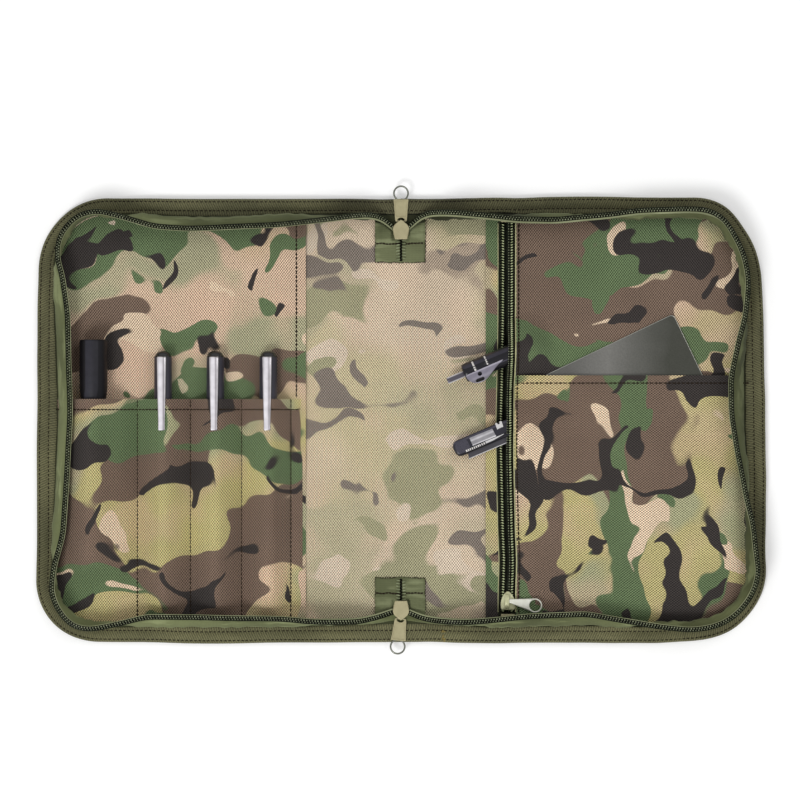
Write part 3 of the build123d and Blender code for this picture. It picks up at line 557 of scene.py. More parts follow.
def edge_line(side):
    """Points along one half's edge from the top middle round to the bottom middle, their
    outward normals and their distance along the edge."""
    (top_x, top_y), (low_x, low_y) = CORNERS[side]
    w, h = HALF_WIDTH, HALF_HEIGHT
    quarter = np.linspace(0, math.pi / 2, 200)
    dense = np.concatenate([
        places(np.linspace(0, w - top_x, 400), h),
        places(w - top_x + top_x * np.sin(quarter), h - top_y + top_y * np.cos(quarter)),
        places(w, np.linspace(h - top_y, low_y - h, 400)),
        places(w - low_x + low_x * np.cos(quarter), low_y - h - low_y * np.sin(quarter)),
        places(np.linspace(w - low_x, 0, 400), -h),
    ])
    run = run_of(dense)
    keep = np.r_[True, np.diff(run) > 1e-6]
    s = np.linspace(0, run[-1], int(run[-1] / EDGE_STEP) + 1)
    points = at_run(s, run[keep], dense[keep])
    tangent = unit(np.gradient(points, axis=0))
    normal = places(-tangent[:, 1], tangent[:, 0])
    seed = {"left": 11, "right": 23}[side]
    stray = 0.4 * soft_noise(s, 0, 90, seed) + 0.1 * soft_noise(s, 0, 30, seed + 1)
    stray = stray * smooth_step(0, 20, s) * smooth_step(0, 20, s[-1] - s) - 0.5
    if side == "right":
        stray = stray - 3.2 * smooth_step(160, 212, s) * (1 - smooth_step(222, 330, s))
    for at, reach, out in STRAYS[side]:
        stray = stray + out * bump(s, at, reach)
    mirror = (WAY[side], 1)
    return (points + normal * stray[:, None]) * mirror, normal * mirror, s


EDGE = {side: edge_line(side) for side in WAY}


def inset_bounds(side, inset):
    """Two functions of |x|, the top and the bottom y of the half's area drawn in by inset, and the
    furthest |x|."""
    points, normal, _ = EDGE[side]
    inner = points - normal * inset
    x = np.abs(inner[:, 0])
    far = int(np.argmax(x))

    def bound(part):
        reach = np.maximum.accumulate(x[part])
        return lambda q: np.interp(q, reach, inner[part, 1])

    return bound(slice(0, far + 1)), bound(slice(None, far - 1 if far else None, -1)), float(x[far])


def edge_distance(side, x, y):
    """How far places lie from one half's edge line."""
    points = EDGE[side][0]
    away = [
        np.hypot(*(part[:, None, :] - points[None, :, :]).transpose(2, 0, 1)).min(1)
        for part in np.array_split(places(x, y), 12)  # in parts, to save memory
    ]
    return np.concatenate(away).reshape(np.shape(x))


def area_sheet(name, side, inset, x_marks, height, material, y_high=None, fine_top=0, step=2.4, sewn=4.35,
               reach=5.0):
    """A sheet over part of one half: columns at x_marks, between the drawn-in outline and y_high.
    It sinks to the height sewn, over the last millimetres of reach, where the outline's seam holds it."""
    top, bottom, far = inset_bounds(side, inset)
    q = np.clip(np.abs(x_marks), 0, far)
    highs = top(q) if y_high is None else np.minimum(top(q), y_high)
    lows = bottom(q)
    share = spaced(0, float(highs.max() - lows.min()), step, fine_top)
    y = highs + (lows - highs) * (share / share[-1])[:, None]
    x = x_marks + 0 * y
    z = sewn + (height(x, y) - sewn) * smooth_step(inset - 0.5, inset + reach, edge_distance(side, x, y))
    return face_up(add_mesh(name, places(x, y, z), grid_faces(*x.shape), material))


def edge_ring(points, normal, insets, heights):
    """Vertices at insets and heights (both stations x profile) round an edge line."""
    flat = points[:, None, :] - normal[:, None, :] * insets[:, :, None]
    return np.concatenate([flat, heights[:, :, None]], axis=2).reshape(-1, 3)


# ------------------------------------------------------------------ stitches
def along(line, pitch, phase=0.0, beside=None):
    """Points every pitch along a polyline, the directions there, and beside's rows there."""
    line = np.asarray(line, float)
    run = run_of(line)
    s = np.arange(pitch / 2 + phase, run[-1], pitch)
    ahead, behind = (at_run(s + to, run, line) for to in (0.3, -0.3))
    return at_run(s, run, line), ahead - behind, at_run(s, run, line if beside is None else beside)


def stitch_parts(centres, ways, length, width, height):
    """Thread pads: a pointed bead for each stitch, lying along its way."""
    ring = 6
    angles = np.arange(ring) * TAU / ring
    verts, faces = [], []
    for c, t in zip(centres, unit(ways)):
        side = unit(np.cross((0.0, 0.0, 1.0), t))
        up = np.cross(t, side)
        tip, first = len(verts), len(verts) + 1
        verts.append(c - t * length / 2)
        for share in (-0.28, 0.28):
            for a in angles:
                out = side * math.cos(a) * width / 2 + up * math.sin(a) * height / 2
                verts.append(c + t * length * share + out)
        verts.append(c + t * length / 2)
        for k in range(ring):
            a, b = first + k, first + (k + 1) % ring
            faces += [(tip, b, a), (a, b, b + ring, a + ring), (a + ring, b + ring, tip + 2 * ring + 1)]
    return np.array(verts), faces


def stitches(name, lines, material, pitch, length, width, height):
    """Rows of stitches along polylines, as one piece."""
    rows = [stitch_parts(*along(line, pitch)[:2], length, width, height) for line in lines]
    return add_mesh(name, *merged(rows), material)


def over(height, x, y, lift=0.05):
    """A polyline over a sheet: x and y, lifted to the sheet's own height."""
    x, y = np.broadcast_arrays(np.asarray(x, float), np.asarray(y, float))
    return places(x, y, height(x, y) + lift)


# ------------------------------------------------------------------ how high the cloth lies
PENS = ("pen_1", "pen_2", "pen_3")
PEN_RADIUS, MARKER_RADIUS = 5.25, 8.25
DIVIDERS = (-206.0, -156.5, -125.0, -94.6, -65.5)
# how high the cloths lie where nothing lifts them
INSIDE_FLOOR, FLAP_FLOOR, ZIP_FLOOR, SLEEVE_FLOOR, STRIP_FLOOR, PANEL_FLOOR, PATCH_FLOOR = (
    LINING_TOP + lift for lift in (0.2, 0.62, 1.05, 1.15, 1.35, 1.75, 2.5)
)

# click pen and pocket tool: where they start, which way they run, and how high they stand
CLICK_START = np.array([middle("pocket_left_coil")[0] - 23.4, PATCH_TOP + 0.8])
TOOL_START = np.array([middle("pocket_left_coil")[0] - 29.3, PATCH_TOP - 44.5])
TOOL_TURN = math.radians(23.0)
TOOL_WAY = np.array([math.cos(TOOL_TURN), math.sin(TOOL_TURN)])
TOOL_SIDE = np.array([-TOOL_WAY[1], TOOL_WAY[0]])
CLICK_LENGTH, CLICK_RADIUS = 44.0, 5.7
TOOL_LENGTH, TOOL_WIDTH = 48.0, 9.8
CLICK_Z = high("click_pen_barrel")[2] - CLICK_RADIUS
TOOL_TOP = high("pocket_tool_body")[2]


def taut(distance, radius, centre, floor, reach):
    """How far cloth is lifted that is tight over a rod and comes down to the floor at reach from it."""
    away = math.hypot(reach, centre - floor)
    lean = math.atan2(centre - floor, reach) + math.asin(min(0.98, radius / away))
    run = math.sqrt(away * away - radius * radius)
    touch = reach - run * math.cos(lean)
    d = np.abs(distance)
    arch = centre + np.sqrt(np.maximum(radius * radius - np.minimum(d, touch) ** 2, 0))
    slope = floor + (reach - d) * math.tan(lean)
    return np.where(d > reach, floor, np.where(d > touch, slope, arch)) - floor


def z_lining(x, y):
    """The lining, which lies lower under the pocket's zip, where the slider's back plate runs."""
    calm = 0.25 * soft_noise(x, y, 60, 3) + 0.10 * soft_noise(x, y, 17, 4)
    under_zip = smooth_step(56, 58, x) * smooth_step(72, 70, x)
    return LINING_TOP + 0.15 - 0.45 * under_zip + calm * smooth_step(0, 14, np.abs(x))


def z_flap(x, y):
    """The flap, slack but for the lanes that the tools run along."""
    tools = bump(x, middle("marker_cap")[0], 12)
    for pen in PENS:
        tools = np.maximum(tools, bump(x, middle(f"{pen}_cap")[0], 9))
    free = 0.75 * (1 - tools) * smooth_step(12, 30, y)
    rise = free * (0.9 + soft_noise(x, y, 48, 5)) + 0.25 * free * soft_noise(x, y, 18, 6)
    edge = 1.1 * bump(x, FLAP_EDGE, 4.5) * (0.6 + 0.4 * np.sin(y / 21.0 + 1.0))
    return FLAP_FLOOR + np.maximum(rise, -0.05) + edge


def z_sleeve(x, y):
    """The sleeves: tight over each tool, sewn down at the dividers between them."""
    z = np.full(np.broadcast(x, y).shape, SLEEVE_FLOOR)
    tools = [("marker", MARKER_RADIUS, 13.05)] + [(pen, PEN_RADIUS, 10.05) for pen in PENS]
    for walls, (tool, radius, centre) in zip(zip(DIVIDERS, DIVIDERS[1:]), tools):
        mid_x, foot = middle(f"{tool}_barrel")[0], low(f"{tool}_barrel")[1]
        away = np.abs(x - mid_x)
        fade = smooth_step(foot - 24, foot - 2, y)
        for way, wall in zip((-1, 1), walls):
            reach = abs(wall - mid_x)
            inside = ((x - mid_x) * way >= 0) & (away <= reach)
            lift = taut(away, radius + 0.75, centre, SLEEVE_FLOOR, reach)
            lift = lift + 0.5 * np.clip(1 - away / reach, 0, 1)
            z = np.where(inside, SLEEVE_FLOOR + lift * fade, z)
    away = np.ones_like(z)
    for wall in DIVIDERS[1:]:
        away = away * (1 - bump(x, wall, 3.0))
    z = z + away * 0.35 * soft_noise(x * 1.6, y, 26, 8) * smooth_step(14, 4, y)
    hem = 0.28 * smooth_step(SLEEVE_TOP - 6.6, SLEEVE_TOP - 6.0, y)
    z = z + hem - 0.25 * bump(y, SLEEVE_TOP - 6.3, 0.7)
    for pen in PENS:  # pressed down under each clip
        end, room = low(f"{pen}_clip")[1], high(f"{pen}_clip")[2] - 1.85
        near = smooth_step(6.4, 3.6, np.abs(x - middle(f"{pen}_clip")[0])) * smooth_step(end - 5, end - 1.5, y)
        z = z - np.maximum(z - room, 0) * near
    return np.maximum(z, LINING_TOP + 0.75)


def over_tools(x, y, floor, beyond=26):
    """How far cloth with that floor is lifted by the two tools in the zip pocket, and how far beyond
    their hidden ends it comes down."""
    total = np.zeros(np.broadcast(x, y).shape)
    for start, length, radius, centre in (
        (CLICK_START, CLICK_LENGTH, CLICK_RADIUS + 0.8, CLICK_Z),
        (TOOL_START, TOOL_LENGTH, TOOL_WIDTH / 2 + 0.9, TOOL_TOP - TOOL_WIDTH / 2),
    ):
        run = (x - start[0]) * TOOL_WAY[0] + (y - start[1]) * TOOL_WAY[1]
        aside = (x - start[0]) * TOOL_SIDE[0] + (y - start[1]) * TOOL_SIDE[1]
        fade = smooth_step(length + beyond, length - 1 - (26 - beyond) * 0.2, run)
        total = np.maximum(total, taut(aside, radius, centre, floor, 19.0) * fade)
    return total


def z_strip(x, y):
    return STRIP_FLOOR + 0.2 * bump(x, STRIP_LOW + 0.8, 1.0) + 0.06 * soft_noise(x, y, 25, 9)


def z_inside(x, y):
    return INSIDE_FLOOR + 0 * (x + y)


CARD_X, CARD_Y = 134.6, 20.2  # about the middle of what the card covers
CARD_OUT = 45.0  # how far it is drawn out


def card_near(x, y, drawn):
    """1 where the card lies, or is drawn out to over that distance, and 0 away from it."""
    x, y = x - CARD_X, y - CARD_Y
    return smooth_step(74, 62, np.hypot(x * 0.9, np.minimum(y, 0) + np.maximum(y - drawn, 0)))


def z_panel(x, y):
    calm = 0.5 * (1 - card_near(x, y, CARD_OUT)) * (1 + soft_noise(x, y, 52, 12))
    edge = 0.35 * bump(x, PANEL_EDGE + 1.0, 1.3)
    return PANEL_FLOOR + calm + edge + over_tools(x, y, PANEL_FLOOR, 15)


def z_patch(x, y):
    free = 1 - 0.6 * card_near(x, y, 0.0)
    rise = free * 0.8 * (1 + soft_noise(x, y, 44, 14)) + 0.2 * free * soft_noise(x, y, 17, 15)
    hem = 0.35 * smooth_step(PATCH_TOP - 4.6, PATCH_TOP - 4.2, y) - 0.22 * bump(y, PATCH_TOP - 4.5, 0.7)
    side = smooth_step(PATCH_EDGE, PATCH_EDGE + 4, x)
    mouth = 0.7 * bump(y, PATCH_TOP, 7) * bump(x, 131, 45)
    return PATCH_FLOOR + side * (0.75 + rise) + hem + mouth + over_tools(x, y, PATCH_FLOOR - 0.1)


# ------------------------------------------------------------------ boards, bindings, zip tapes
def slab(name, side):
    """The padded board of one half: shell fabric below and round it, foam inside."""
    top, bottom, far = inset_bounds(side, 1.2)
    columns = np.r_[spaced(0, 32, 1.6), spaced(32, far - 12, 7)[1:], spaced(far - 12, far, 2)[1:]]
    rows, cols = 46, len(columns)
    share = (1 - np.cos(np.linspace(0, math.pi, rows))) / 2
    highs, lows = top(columns), bottom(columns)
    y = highs + (lows - highs) * share[:, None]
    x = columns * WAY[side] + 0 * y
    puff = smooth_step(0, 26, np.minimum(np.minimum(highs - y, y - lows), far - columns))
    under = 0.55 - 0.5 * puff + 0.10 * soft_noise(x, y, 55, 30) * puff
    grid, count = grid_faces(rows, cols), rows * cols
    index = np.arange(count).reshape(rows, cols)
    rim = np.concatenate([index[0], index[1:, -1], index[-1, -2::-1], index[-2:0:-1, 0]]).tolist()
    faces = grid + [tuple(count + i for i in f[::-1]) for f in grid]
    faces += [(a, b, b + count, a + count) for a, b in zip(rim, rim[1:] + rim[:1])]
    verts = np.concatenate([places(x, y, under), places(x, y, 3.35)])
    return face_out(add_mesh(name, verts, faces, CAMO_SHELL))


def lip(points):
    """How much further the binding reaches in beyond its inner row of stitches, and how much higher
    it stands there, place by place."""
    x, y = np.abs(points[:, 0]), points[:, 1]
    ends = 3.3 * bump(y, 4, 62) * smooth_step(192, 206, x)
    rims = 1.7 * bump(x, 112, 42) * smooth_step(100, 118, np.abs(y))
    middle_low = 2.4 * bump(x, 0, 50) * smooth_step(-60, -100, y)
    return ends + rims + middle_low, 0.42 * (ends + rims) + 0.1 * middle_low


def overlapped(side, points):
    """1 on the right half's lower edge beyond the binding's overlapped end."""
    return smooth_step(OVERLAP - 0.8, OVERLAP + 0.8, points[:, 0]) * (points[:, 1] < 0) * (side == "right")


# the binding's section: how far in from the edge and how high, from its underside round to the lining
BINDING_SECTION = np.array([
    (8.2, 0.5), (6.9, 0.12), (6.1, 0.35), (5.0, 0.05), (3.2, 0.0), (1.9, 0.3), (1.1, 0.35),
    (0.4, 0.9), (0.0, 2.3), (0.1, 3.4), (0.5, 4.25), (1.2, 4.72), (1.85, 4.42), (2.6, 4.78),
    (4.4, 4.92), (6.2, 4.8), (7.1, 4.42), (7.8, 4.75), (8.5, 4.75), (8.8, 4.45), (8.7, 4.0),
])
LIP_SHARE = np.r_[np.zeros(17), 0.5, 1, 1, 1]  # how much of the lip each of those points takes
STITCH_ROWS = (1.85, 7.1)


def binding(name, side):
    """The webbing folded round the edge, with grooves where its two rows of stitches pull it in."""
    points, normal, s = EDGE[side]
    inset, z = BINDING_SECTION.T
    jitter = 0.18 * soft_noise(s, 0, 13, 41)[:, None] * bump(inset, 8, 2)
    reach, lift = (part[:, None] * LIP_SHARE for part in lip(points))
    heights = z + lift + 0.05 * soft_noise(s[:, None], inset * 9, 9, 42)
    double = overlapped(side, points) * (points[:, 0] < 170)
    heights = heights + 0.6 * double[:, None] * smooth_step(2.0, 4.0, heights)
    verts = edge_ring(points, normal, inset + jitter + reach, np.maximum(heights, 0))
    cut = places(s[:, None], run_of(BINDING_SECTION))
    obj = add_mesh(name, verts, grid_faces(len(s), len(inset)), BINDING, cut)
    return face_up(obj, 4.6)


def chain_inset(side, s):
    at, inset = np.array(CHAIN_INSET[side]).T
    total = EDGE[side][2][-1]
    dense = np.linspace(0, total, 1400)
    return np.interp(s, dense, smooth_curve(np.interp(dense, at * total / (at[-1] + 4.5), inset), 60))


def chain_height(from_end):
    """How high the chain stands: low over the case, raised towards the sliders."""
    return CHAIN_HIGH + (CHAIN_LOW + 0.55 - CHAIN_HIGH) * smooth_step(3, 34, from_end)


def chain_points(side, s, extra=0.0):
    """The chain's line at distances s along the edge, moved in by extra, and the edge's normal there."""
    points, normal, base = EDGE[side]
    n = unit(at_run(s, base, normal))
    inset = (chain_inset(side, s) + extra)[:, None]
    return places(*(at_run(s, base, points) - n * inset).T, chain_height(np.minimum(s, base[-1] - s))), n


def tape_wall(name, side):
    """The standing tape between the binding and the chain, with the slack that its lean leaves."""
    points, normal, base = EDGE[side]
    total = base[-1]
    s = np.linspace(0, total, int(total / 1.5) + 1)
    p, n = at_run(s, base, points), at_run(s, base, normal)
    near = np.minimum(s, total - s)
    free = smooth_step(5.4, 12, near)  # 0 under the sliders, where the tape lies flat
    c, z_top = chain_inset(side, s), 4.8 + (chain_height(near) - 4.8) * free
    under, lift = lip(p)
    foot_in, foot_z = TAPE_FOOT[0] + under, TAPE_FOOT[1] + 0.95 * lift
    run, rise = c - foot_in, z_top - foot_z
    gap = np.hypot(run, rise)
    length = np.minimum(np.maximum(TAPE_WIDTH - 2.0 - under, gap + 0.3), gap * 1.45)
    sag = np.sqrt(np.maximum(length - gap, 0) * 3 * gap / 8)
    if side == "left":
        sag = sag * (1 - 0.78 * bump(s, 192, 22))  # room for the marker's cap, drawn out
    lean = np.tanh((c - 12.5) / 2.5)
    crease = 0.30 * soft_noise(s, 0, 7, {"left": 51, "right": 52}[side]) + 0.45 * soft_noise(s, 0, 21, 53)
    # u goes up the tape; it bows across the line from foot to chain, outwards where the chain leans in
    u = (np.r_[0.1, np.linspace(0.2, 1, 13)][:, None] - 0.1) / 0.9
    swell = 4 * u * (1 - u)
    bow = sag * lean * swell + crease * swell * np.clip(gap / 12, 0.15, 1)
    heights = 4.6 + (np.maximum(foot_z + rise * u + run / gap * bow, 4.35) - 4.6) * free
    insets = np.vstack([0 * s + TAPE_ROOT[0], foot_in + run * u - rise / gap * bow]).T
    verts = edge_ring(p, n, insets, np.vstack([0 * s + TAPE_ROOT[1], heights]).T)
    cut = places(s[:, None], np.r_[0, 2.4 + (TAPE_WIDTH - 2.4) * u[:, 0]])
    return face_up(add_mesh(name, verts, grid_faces(*insets.shape), TAPE_BY_SIDE[side], cut))


def upright(ways, across):
    """Directions at right angles to both, turned to look up."""
    up = np.cross(ways, across)
    return up * np.where(up[:, 2:] < 0, -1, 1)


def ribbon(name, line, side_way, width, thick, material):
    """A flat closed band along a line (n x 3), side_way pointing across it."""
    ahead = unit(np.gradient(line, axis=0))
    across = unit(side_way - (side_way * ahead).sum(1)[:, None] * ahead)
    up = upright(ahead, across) * thick
    ring = [
        (-0.5, -0.35), (-0.5, 0.35), (-0.4, 0.5), (0.4, 0.5),
        (0.5, 0.35), (0.5, -0.35), (0.4, -0.5), (-0.4, -0.5),
    ]
    width = np.broadcast_to(width, len(line))[:, None]
    verts = np.stack([line + across * width * a + up * b for a, b in ring], axis=1).reshape(-1, 3)
    cut = places(run_of(line)[:, None], width * [a for a, _ in ring])
    return face_out(add_mesh(name, verts, tube_faces(len(line), len(ring)), material, cut))


def coil_parts(line, side_way, pitch, width, thick, high_rise, skew, phase=0.0):
    """The loops of a coil zip: a bead across the line for each turn, fat in its middle."""
    centres, ways, sides = along(line, pitch, phase, side_way)
    ways = unit(ways)
    sides = unit(sides - (sides * ways).sum(1)[:, None] * ways)
    ups = upright(ways, sides)
    # along each bead: where, how thick and how high
    shares = np.array([-0.5, -0.42, -0.2, 0.0, 0.2, 0.42, 0.5]) * width
    girth = np.array([0.45, 0.8, 1.0, 1.12, 1.0, 0.8, 0.45])[:, None] * thick / 2
    rise = np.array([-0.9, -0.2, 0.5, 0.72, 0.5, -0.2, -0.9])[:, None] * high_rise
    ring = 7
    angle = np.arange(ring) * TAU / ring
    run = unit(sides + ways * skew)
    thin = np.cross(ups, run)
    centres, run, ups, thin = (part[:, None, None, :] for part in (centres, run, ups, thin))
    verts = centres + run * shares[:, None, None] + ups * (rise + girth * np.sin(angle))[:, :, None]
    verts = (verts + thin * (girth * np.cos(angle))[:, :, None]).reshape(-1, 3)
    per = len(shares) * ring
    unit_faces = tube_faces(len(shares), ring)
    return verts, [tuple(base + k for k in f) for base in range(0, len(verts), per) for f in unit_faces]


def main_chain(side):
    total = EDGE[side][2][-1]
    s = np.linspace(CHAIN_START, total - CHAIN_START, int(total / 1.3))
    line, normal = chain_points(side, s)
    line[:, 2] += 0.35
    run = run_of(line)
    even = np.linspace(0, run[-1], len(run))
    line = at_run(even, run, np.column_stack([smooth_curve(column, 8) for column in line.T]))
    way = places(*at_run(even, run, normal).T, -0.25)
    core = ribbon(f"{side}_chain_core", line, way, 2.9, 0.55, COIL_SHADOW)
    finish_piece(core, [], side=side)
    loops = coil_parts(line + (0, 0, 0.5), way, 1.65, 2.5, 0.4, 0.3, 0.4)
    finish_piece(add_mesh(f"{side}_chain_coil", *loops, COIL), [f"{side}_zip_coil"], side=side)
    # pale beads along the loops' crests: painted highlights on the dark nylon
    rows = [
        coil_parts(line + way * shift + (0, 0, 0.82), way, 1.65, width, thick, 0.12, 0.4, phase)
        for shift, width, thick, phase in ((-0.5, 0.8, 0.72, 0), (0.65, 0.6, 0.5, 0.8))
    ]
    finish_piece(add_mesh(f"{side}_chain_crests", *merged(rows), COIL_CREST), [], side=side)
    wide = 0.35 + 0.75 * smooth_step(PIPING[side] + 12, PIPING[side], s)
    wide = wide + 0.5 * smooth_step(total - 70, total - 30, s)
    for part, shift, width, cloth in (("outer", 1, 0.3 + 0 * s, COIL), ("inner", -1, wide, TAPE_LIGHT)):
        aside = ((1.36 + width / 2) * shift)[:, None]
        edge = ribbon(f"{side}_chain_edge_{part}", line + way * aside - (0, 0, 0.05), way, width, 0.5, cloth)
        finish_piece(edge, [], side=side)


for side, way in WAY.items():
    board = slab(f"{side}_board", side)
    finish_piece(board, [f"{side}_shell", f"{side}_pad"], side=side)
    marks = np.r_[spaced(0, 66, 1.7), spaced(66, 208, 8)[1:]] * way
    lining = area_sheet(f"{side}_lining_cloth", side, 9.0, marks, z_lining, REVERSE_CLOTH, step=2.6, sewn=4.1)
    finish_piece(lining, [f"{side}_lining"], side=side)
    finish_piece(binding(f"{side}_edge_binding", side), [f"{side}_binding"], side=side)
    points, normal, _ = EDGE[side]
    row_z = 4.62 + 0.55 * overlapped(side, points)
    rows = [places(*(points - normal * inset).T, row_z) for inset in STITCH_ROWS]
    seam = stitches(f"{side}_binding_stitches", rows, THREAD, 2.55, 1.75, 0.62, 0.5)
    finish_piece(seam, [], side=side)
    finish_piece(tape_wall(f"{side}_tape", side), [f"{side}_zip_tape"], side=side)
    main_chain(side)

for node, piece in (
    ("spine_shell", "left_board"), ("spine_pad", "left_board"), ("spine_lining", "left_lining_cloth"),
    ("spine_binding", "left_edge_binding"), ("spine_zip_tape", "left_tape"),
):
    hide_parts(node)

# ------------------------------------------------------------------ flap, sleeves, strip, panel, patch
sleeve_marks = [spaced(a, b, 1.15, 1.2, 1.2, 0.4)[:-1] for a, b in zip(DIVIDERS, DIVIDERS[1:])]
sleeve_marks = np.concatenate(sleeve_marks + [spaced(DIVIDERS[-1], SLEEVE_END, 1.2)])
strip_marks = np.r_[spaced(STRIP_LOW, STRIP_LOW + 2, 0.5), spaced(STRIP_LOW + 2, STRIP_HIGH, 1.2)[1:]]
flap_marks = spaced(-206.6, FLAP_EDGE, 2.6, 0, 2.0, 0.5)
panel_marks = spaced(PANEL_EDGE, 207, 2.4, 4, 0, 0.8)
patch_marks = spaced(PANEL_EDGE + 0.3, 207, 2.4, 4, 0, 0.8)
inside_marks = spaced(STRIP_HIGH - 2, PANEL_EDGE + 4, 1.5)
long_y = np.linspace(121.5, -121.5, 400)
sleeve_y = np.linspace(SLEEVE_TOP, -121, 260)


def cover(side, cloths, seams):
    """What lies on one half and moves with its cover: cloths, and the stitches that hold them."""
    for name, nodes, slot, marks, height, cloth, shape in cloths:
        sheet = area_sheet(name, side, SEWN_IN, marks, height, cloth, **shape)
        finish_piece(sheet, nodes, f"{side}_cover")
    rows = stitches(f"{side}_cover_stitches", seams, THREAD_BROWN, 2.7, 2.5, 0.95, 0.65)
    finish_piece(rows, [], f"{side}_cover")


cover("left", (
    ("left_flap_cloth", ["left_flap"], "camo_fabric", flap_marks, z_flap, CAMO_LEFT, {"step": 2.6}),
    ("pen_sleeve_cloth", ["pen_sleeves"], "camo_fabric", sleeve_marks, z_sleeve, CAMO_SLEEVES,
     {"y_high": SLEEVE_TOP, "fine_top": 8}),
), [
    over(z_flap, FLAP_EDGE - 5.6, long_y[long_y > SLEEVE_TOP]),
    *(over(z_sleeve, wall, sleeve_y) for wall in DIVIDERS[1:]),
    over(z_sleeve, np.linspace(-206, SLEEVE_END, 400), SLEEVE_TOP - 6.2),
])
cover("right", (
    ("pocket_strip_cloth", ["pocket_strip"], "camo_fabric", strip_marks, z_strip, CAMO_STRIP, {"step": 3}),
    ("pocket_panel_cloth", ["pocket_panel"], "camo_fabric", panel_marks, z_panel, CAMO_RIGHT, {"reach": 8.0}),
    ("patch_pocket_cloth", ["patch_pocket"], "camo_fabric", patch_marks, z_patch, CAMO_PATCH,
     {"y_high": PATCH_TOP, "fine_top": 7, "reach": 9.0}),
    # the pocket's lining, painted near black as the shade seen between the zip's coils
    ("pocket_inside_shade_cloth", [], "lining_fabric", inside_marks, z_inside, POCKET_SHADE_CLOTH, {"step": 6}),
), [
    over(z_patch, np.linspace(PATCH_EDGE, 206, 400), PATCH_TOP - 4.5, 0.2),
    over(z_patch, PATCH_EDGE + 0.8, np.linspace(PATCH_TOP, -120, 300), 0.2),
    over(z_panel, PATCH_EDGE + 0.8, np.linspace(119, PATCH_TOP, 200), 0.2),
])

# ------------------------------------------------------------------ hard pieces: shape helpers
def lathe(name, start, way, profile, material, ring=48, facet=0.0):
    """A turned piece: profile is (along, radius) pairs from start along way."""
    start, way = np.array(start), np.array(way)
    side = unit(np.cross(way, (0, 0, 1.0)))
    up = np.cross(side, way)
    angle = np.arange(ring) * TAU / ring
    verts, cut = [], []
    for t, r in profile:
        flat = r * (1 + facet * np.cos(8 * angle))
        ring_at = np.outer(np.cos(angle) * flat, side) + np.outer(np.sin(angle) * flat, up)
        verts.append(start + way * t + ring_at)
        cut.append(places(t, angle * max(r, 0.5)))
    faces = tube_faces(len(profile), ring)
    return face_out(add_mesh(name, np.concatenate(verts), faces, material, np.concatenate(cut)))


def rect(x_low, y_low, x_high, y_high):
    return [(x_low, y_low), (x_high, y_low), (x_high, y_high), (x_low, y_high)]


def both_sides(half):
    """A closed outline from the half of it beside the first axis."""
    return half + [(a, -b) for a, b in reversed(half)]


def dense_loop(points, step):
    """A closed outline with points about every step."""
    points = np.asarray(points, float)
    out = []
    for a, b in zip(points, np.roll(points, -1, 0)):
        count = max(1, int(np.linalg.norm(b - a) / step))
        out += [a + (b - a) * k / count for k in range(count)]
    return np.array(out)


def rounded(points, radius, parts=7):
    """A closed outline whose corners are rounded."""
    points = np.asarray(points, float)
    out = []
    for a, b, c in zip(np.roll(points, 1, 0), points, np.roll(points, -1, 0)):
        back, ahead = a - b, c - b
        reach = min(radius, np.linalg.norm(back) * 0.45, np.linalg.norm(ahead) * 0.45)
        p, q = b + unit(back) * reach, b + unit(ahead) * reach
        out += [(1 - t) ** 2 * p + 2 * t * (1 - t) * b + t * t * q for t in np.linspace(0, 1, parts)]
    return np.array(out)


def circle(centre, radius, count=40):
    angle = np.arange(count) * TAU / count
    return places(centre[0] + radius * np.cos(angle), centre[1] + radius * np.sin(angle))


def turned(loops, origin, way):
    """Outlines given along and beside a direction, put into plan."""
    side = np.array([-way[1], way[0]])
    return [origin + np.asarray(loop)[:, :1] * way + np.asarray(loop)[:, 1:] * side for loop in loops]


def plate(name, loops, z_low, z_high, edge, material, rise=None):
    """A flat piece from an outline and its holes, with rounded edges. rise lifts points by place."""
    bm = bmesh.new()
    turns = np.linspace(0, math.pi / 2, 4)
    levels = [(edge * (1 - math.sin(a)), z_low + edge * (1 - math.cos(a))) for a in turns]
    levels += [(edge * (1 - math.cos(a)), z_high - edge * (1 - math.sin(a))) for a in turns]
    walls = []
    for number, loop in enumerate(loops):
        area = 0.5 * np.sum(loop[:, 0] * np.roll(loop[:, 1], -1) - np.roll(loop[:, 0], -1) * loop[:, 1])
        if (area > 0) == (number > 0):
            loop = loop[::-1]
        tangent = unit(np.roll(loop, -1, 0) - np.roll(loop, 1, 0))
        outward = places(tangent[:, 1], -tangent[:, 0])
        rings = [[bm.verts.new((*q, z)) for q in loop - outward * inset] for inset, z in levels]
        for lower, upper in zip(rings, rings[1:]):
            for a, b, c, d in zip(lower, lower[1:] + lower[:1], upper[1:] + upper[:1], upper):
                bm.faces.new((a, b, c, d)).smooth = True
        walls.append(rings)
    for level in (0, -1):
        rims = [rings[level] for rings in walls]
        edges = [bm.edges.get(pair) for rim in rims for pair in zip(rim, rim[1:] + rim[:1])]
        made = bmesh.ops.triangle_fill(bm, use_beauty=True, use_dissolve=False, edges=edges)
        for face in made["geom"]:
            if isinstance(face, bmesh.types.BMFace):
                face.smooth = rise is not None
    for v in bm.verts:
        if rise is not None:
            v.co.z += rise(v.co.x, v.co.y)
        v.co *= MM
    bmesh.ops.recalc_face_normals(bm, faces=bm.faces)
    mesh = bpy.data.meshes.new(name)
    bm.to_mesh(mesh)
    bm.free()
    lay_cut(mesh, vertices_of(mesh)[:, :2])
    return put(name, mesh, material)


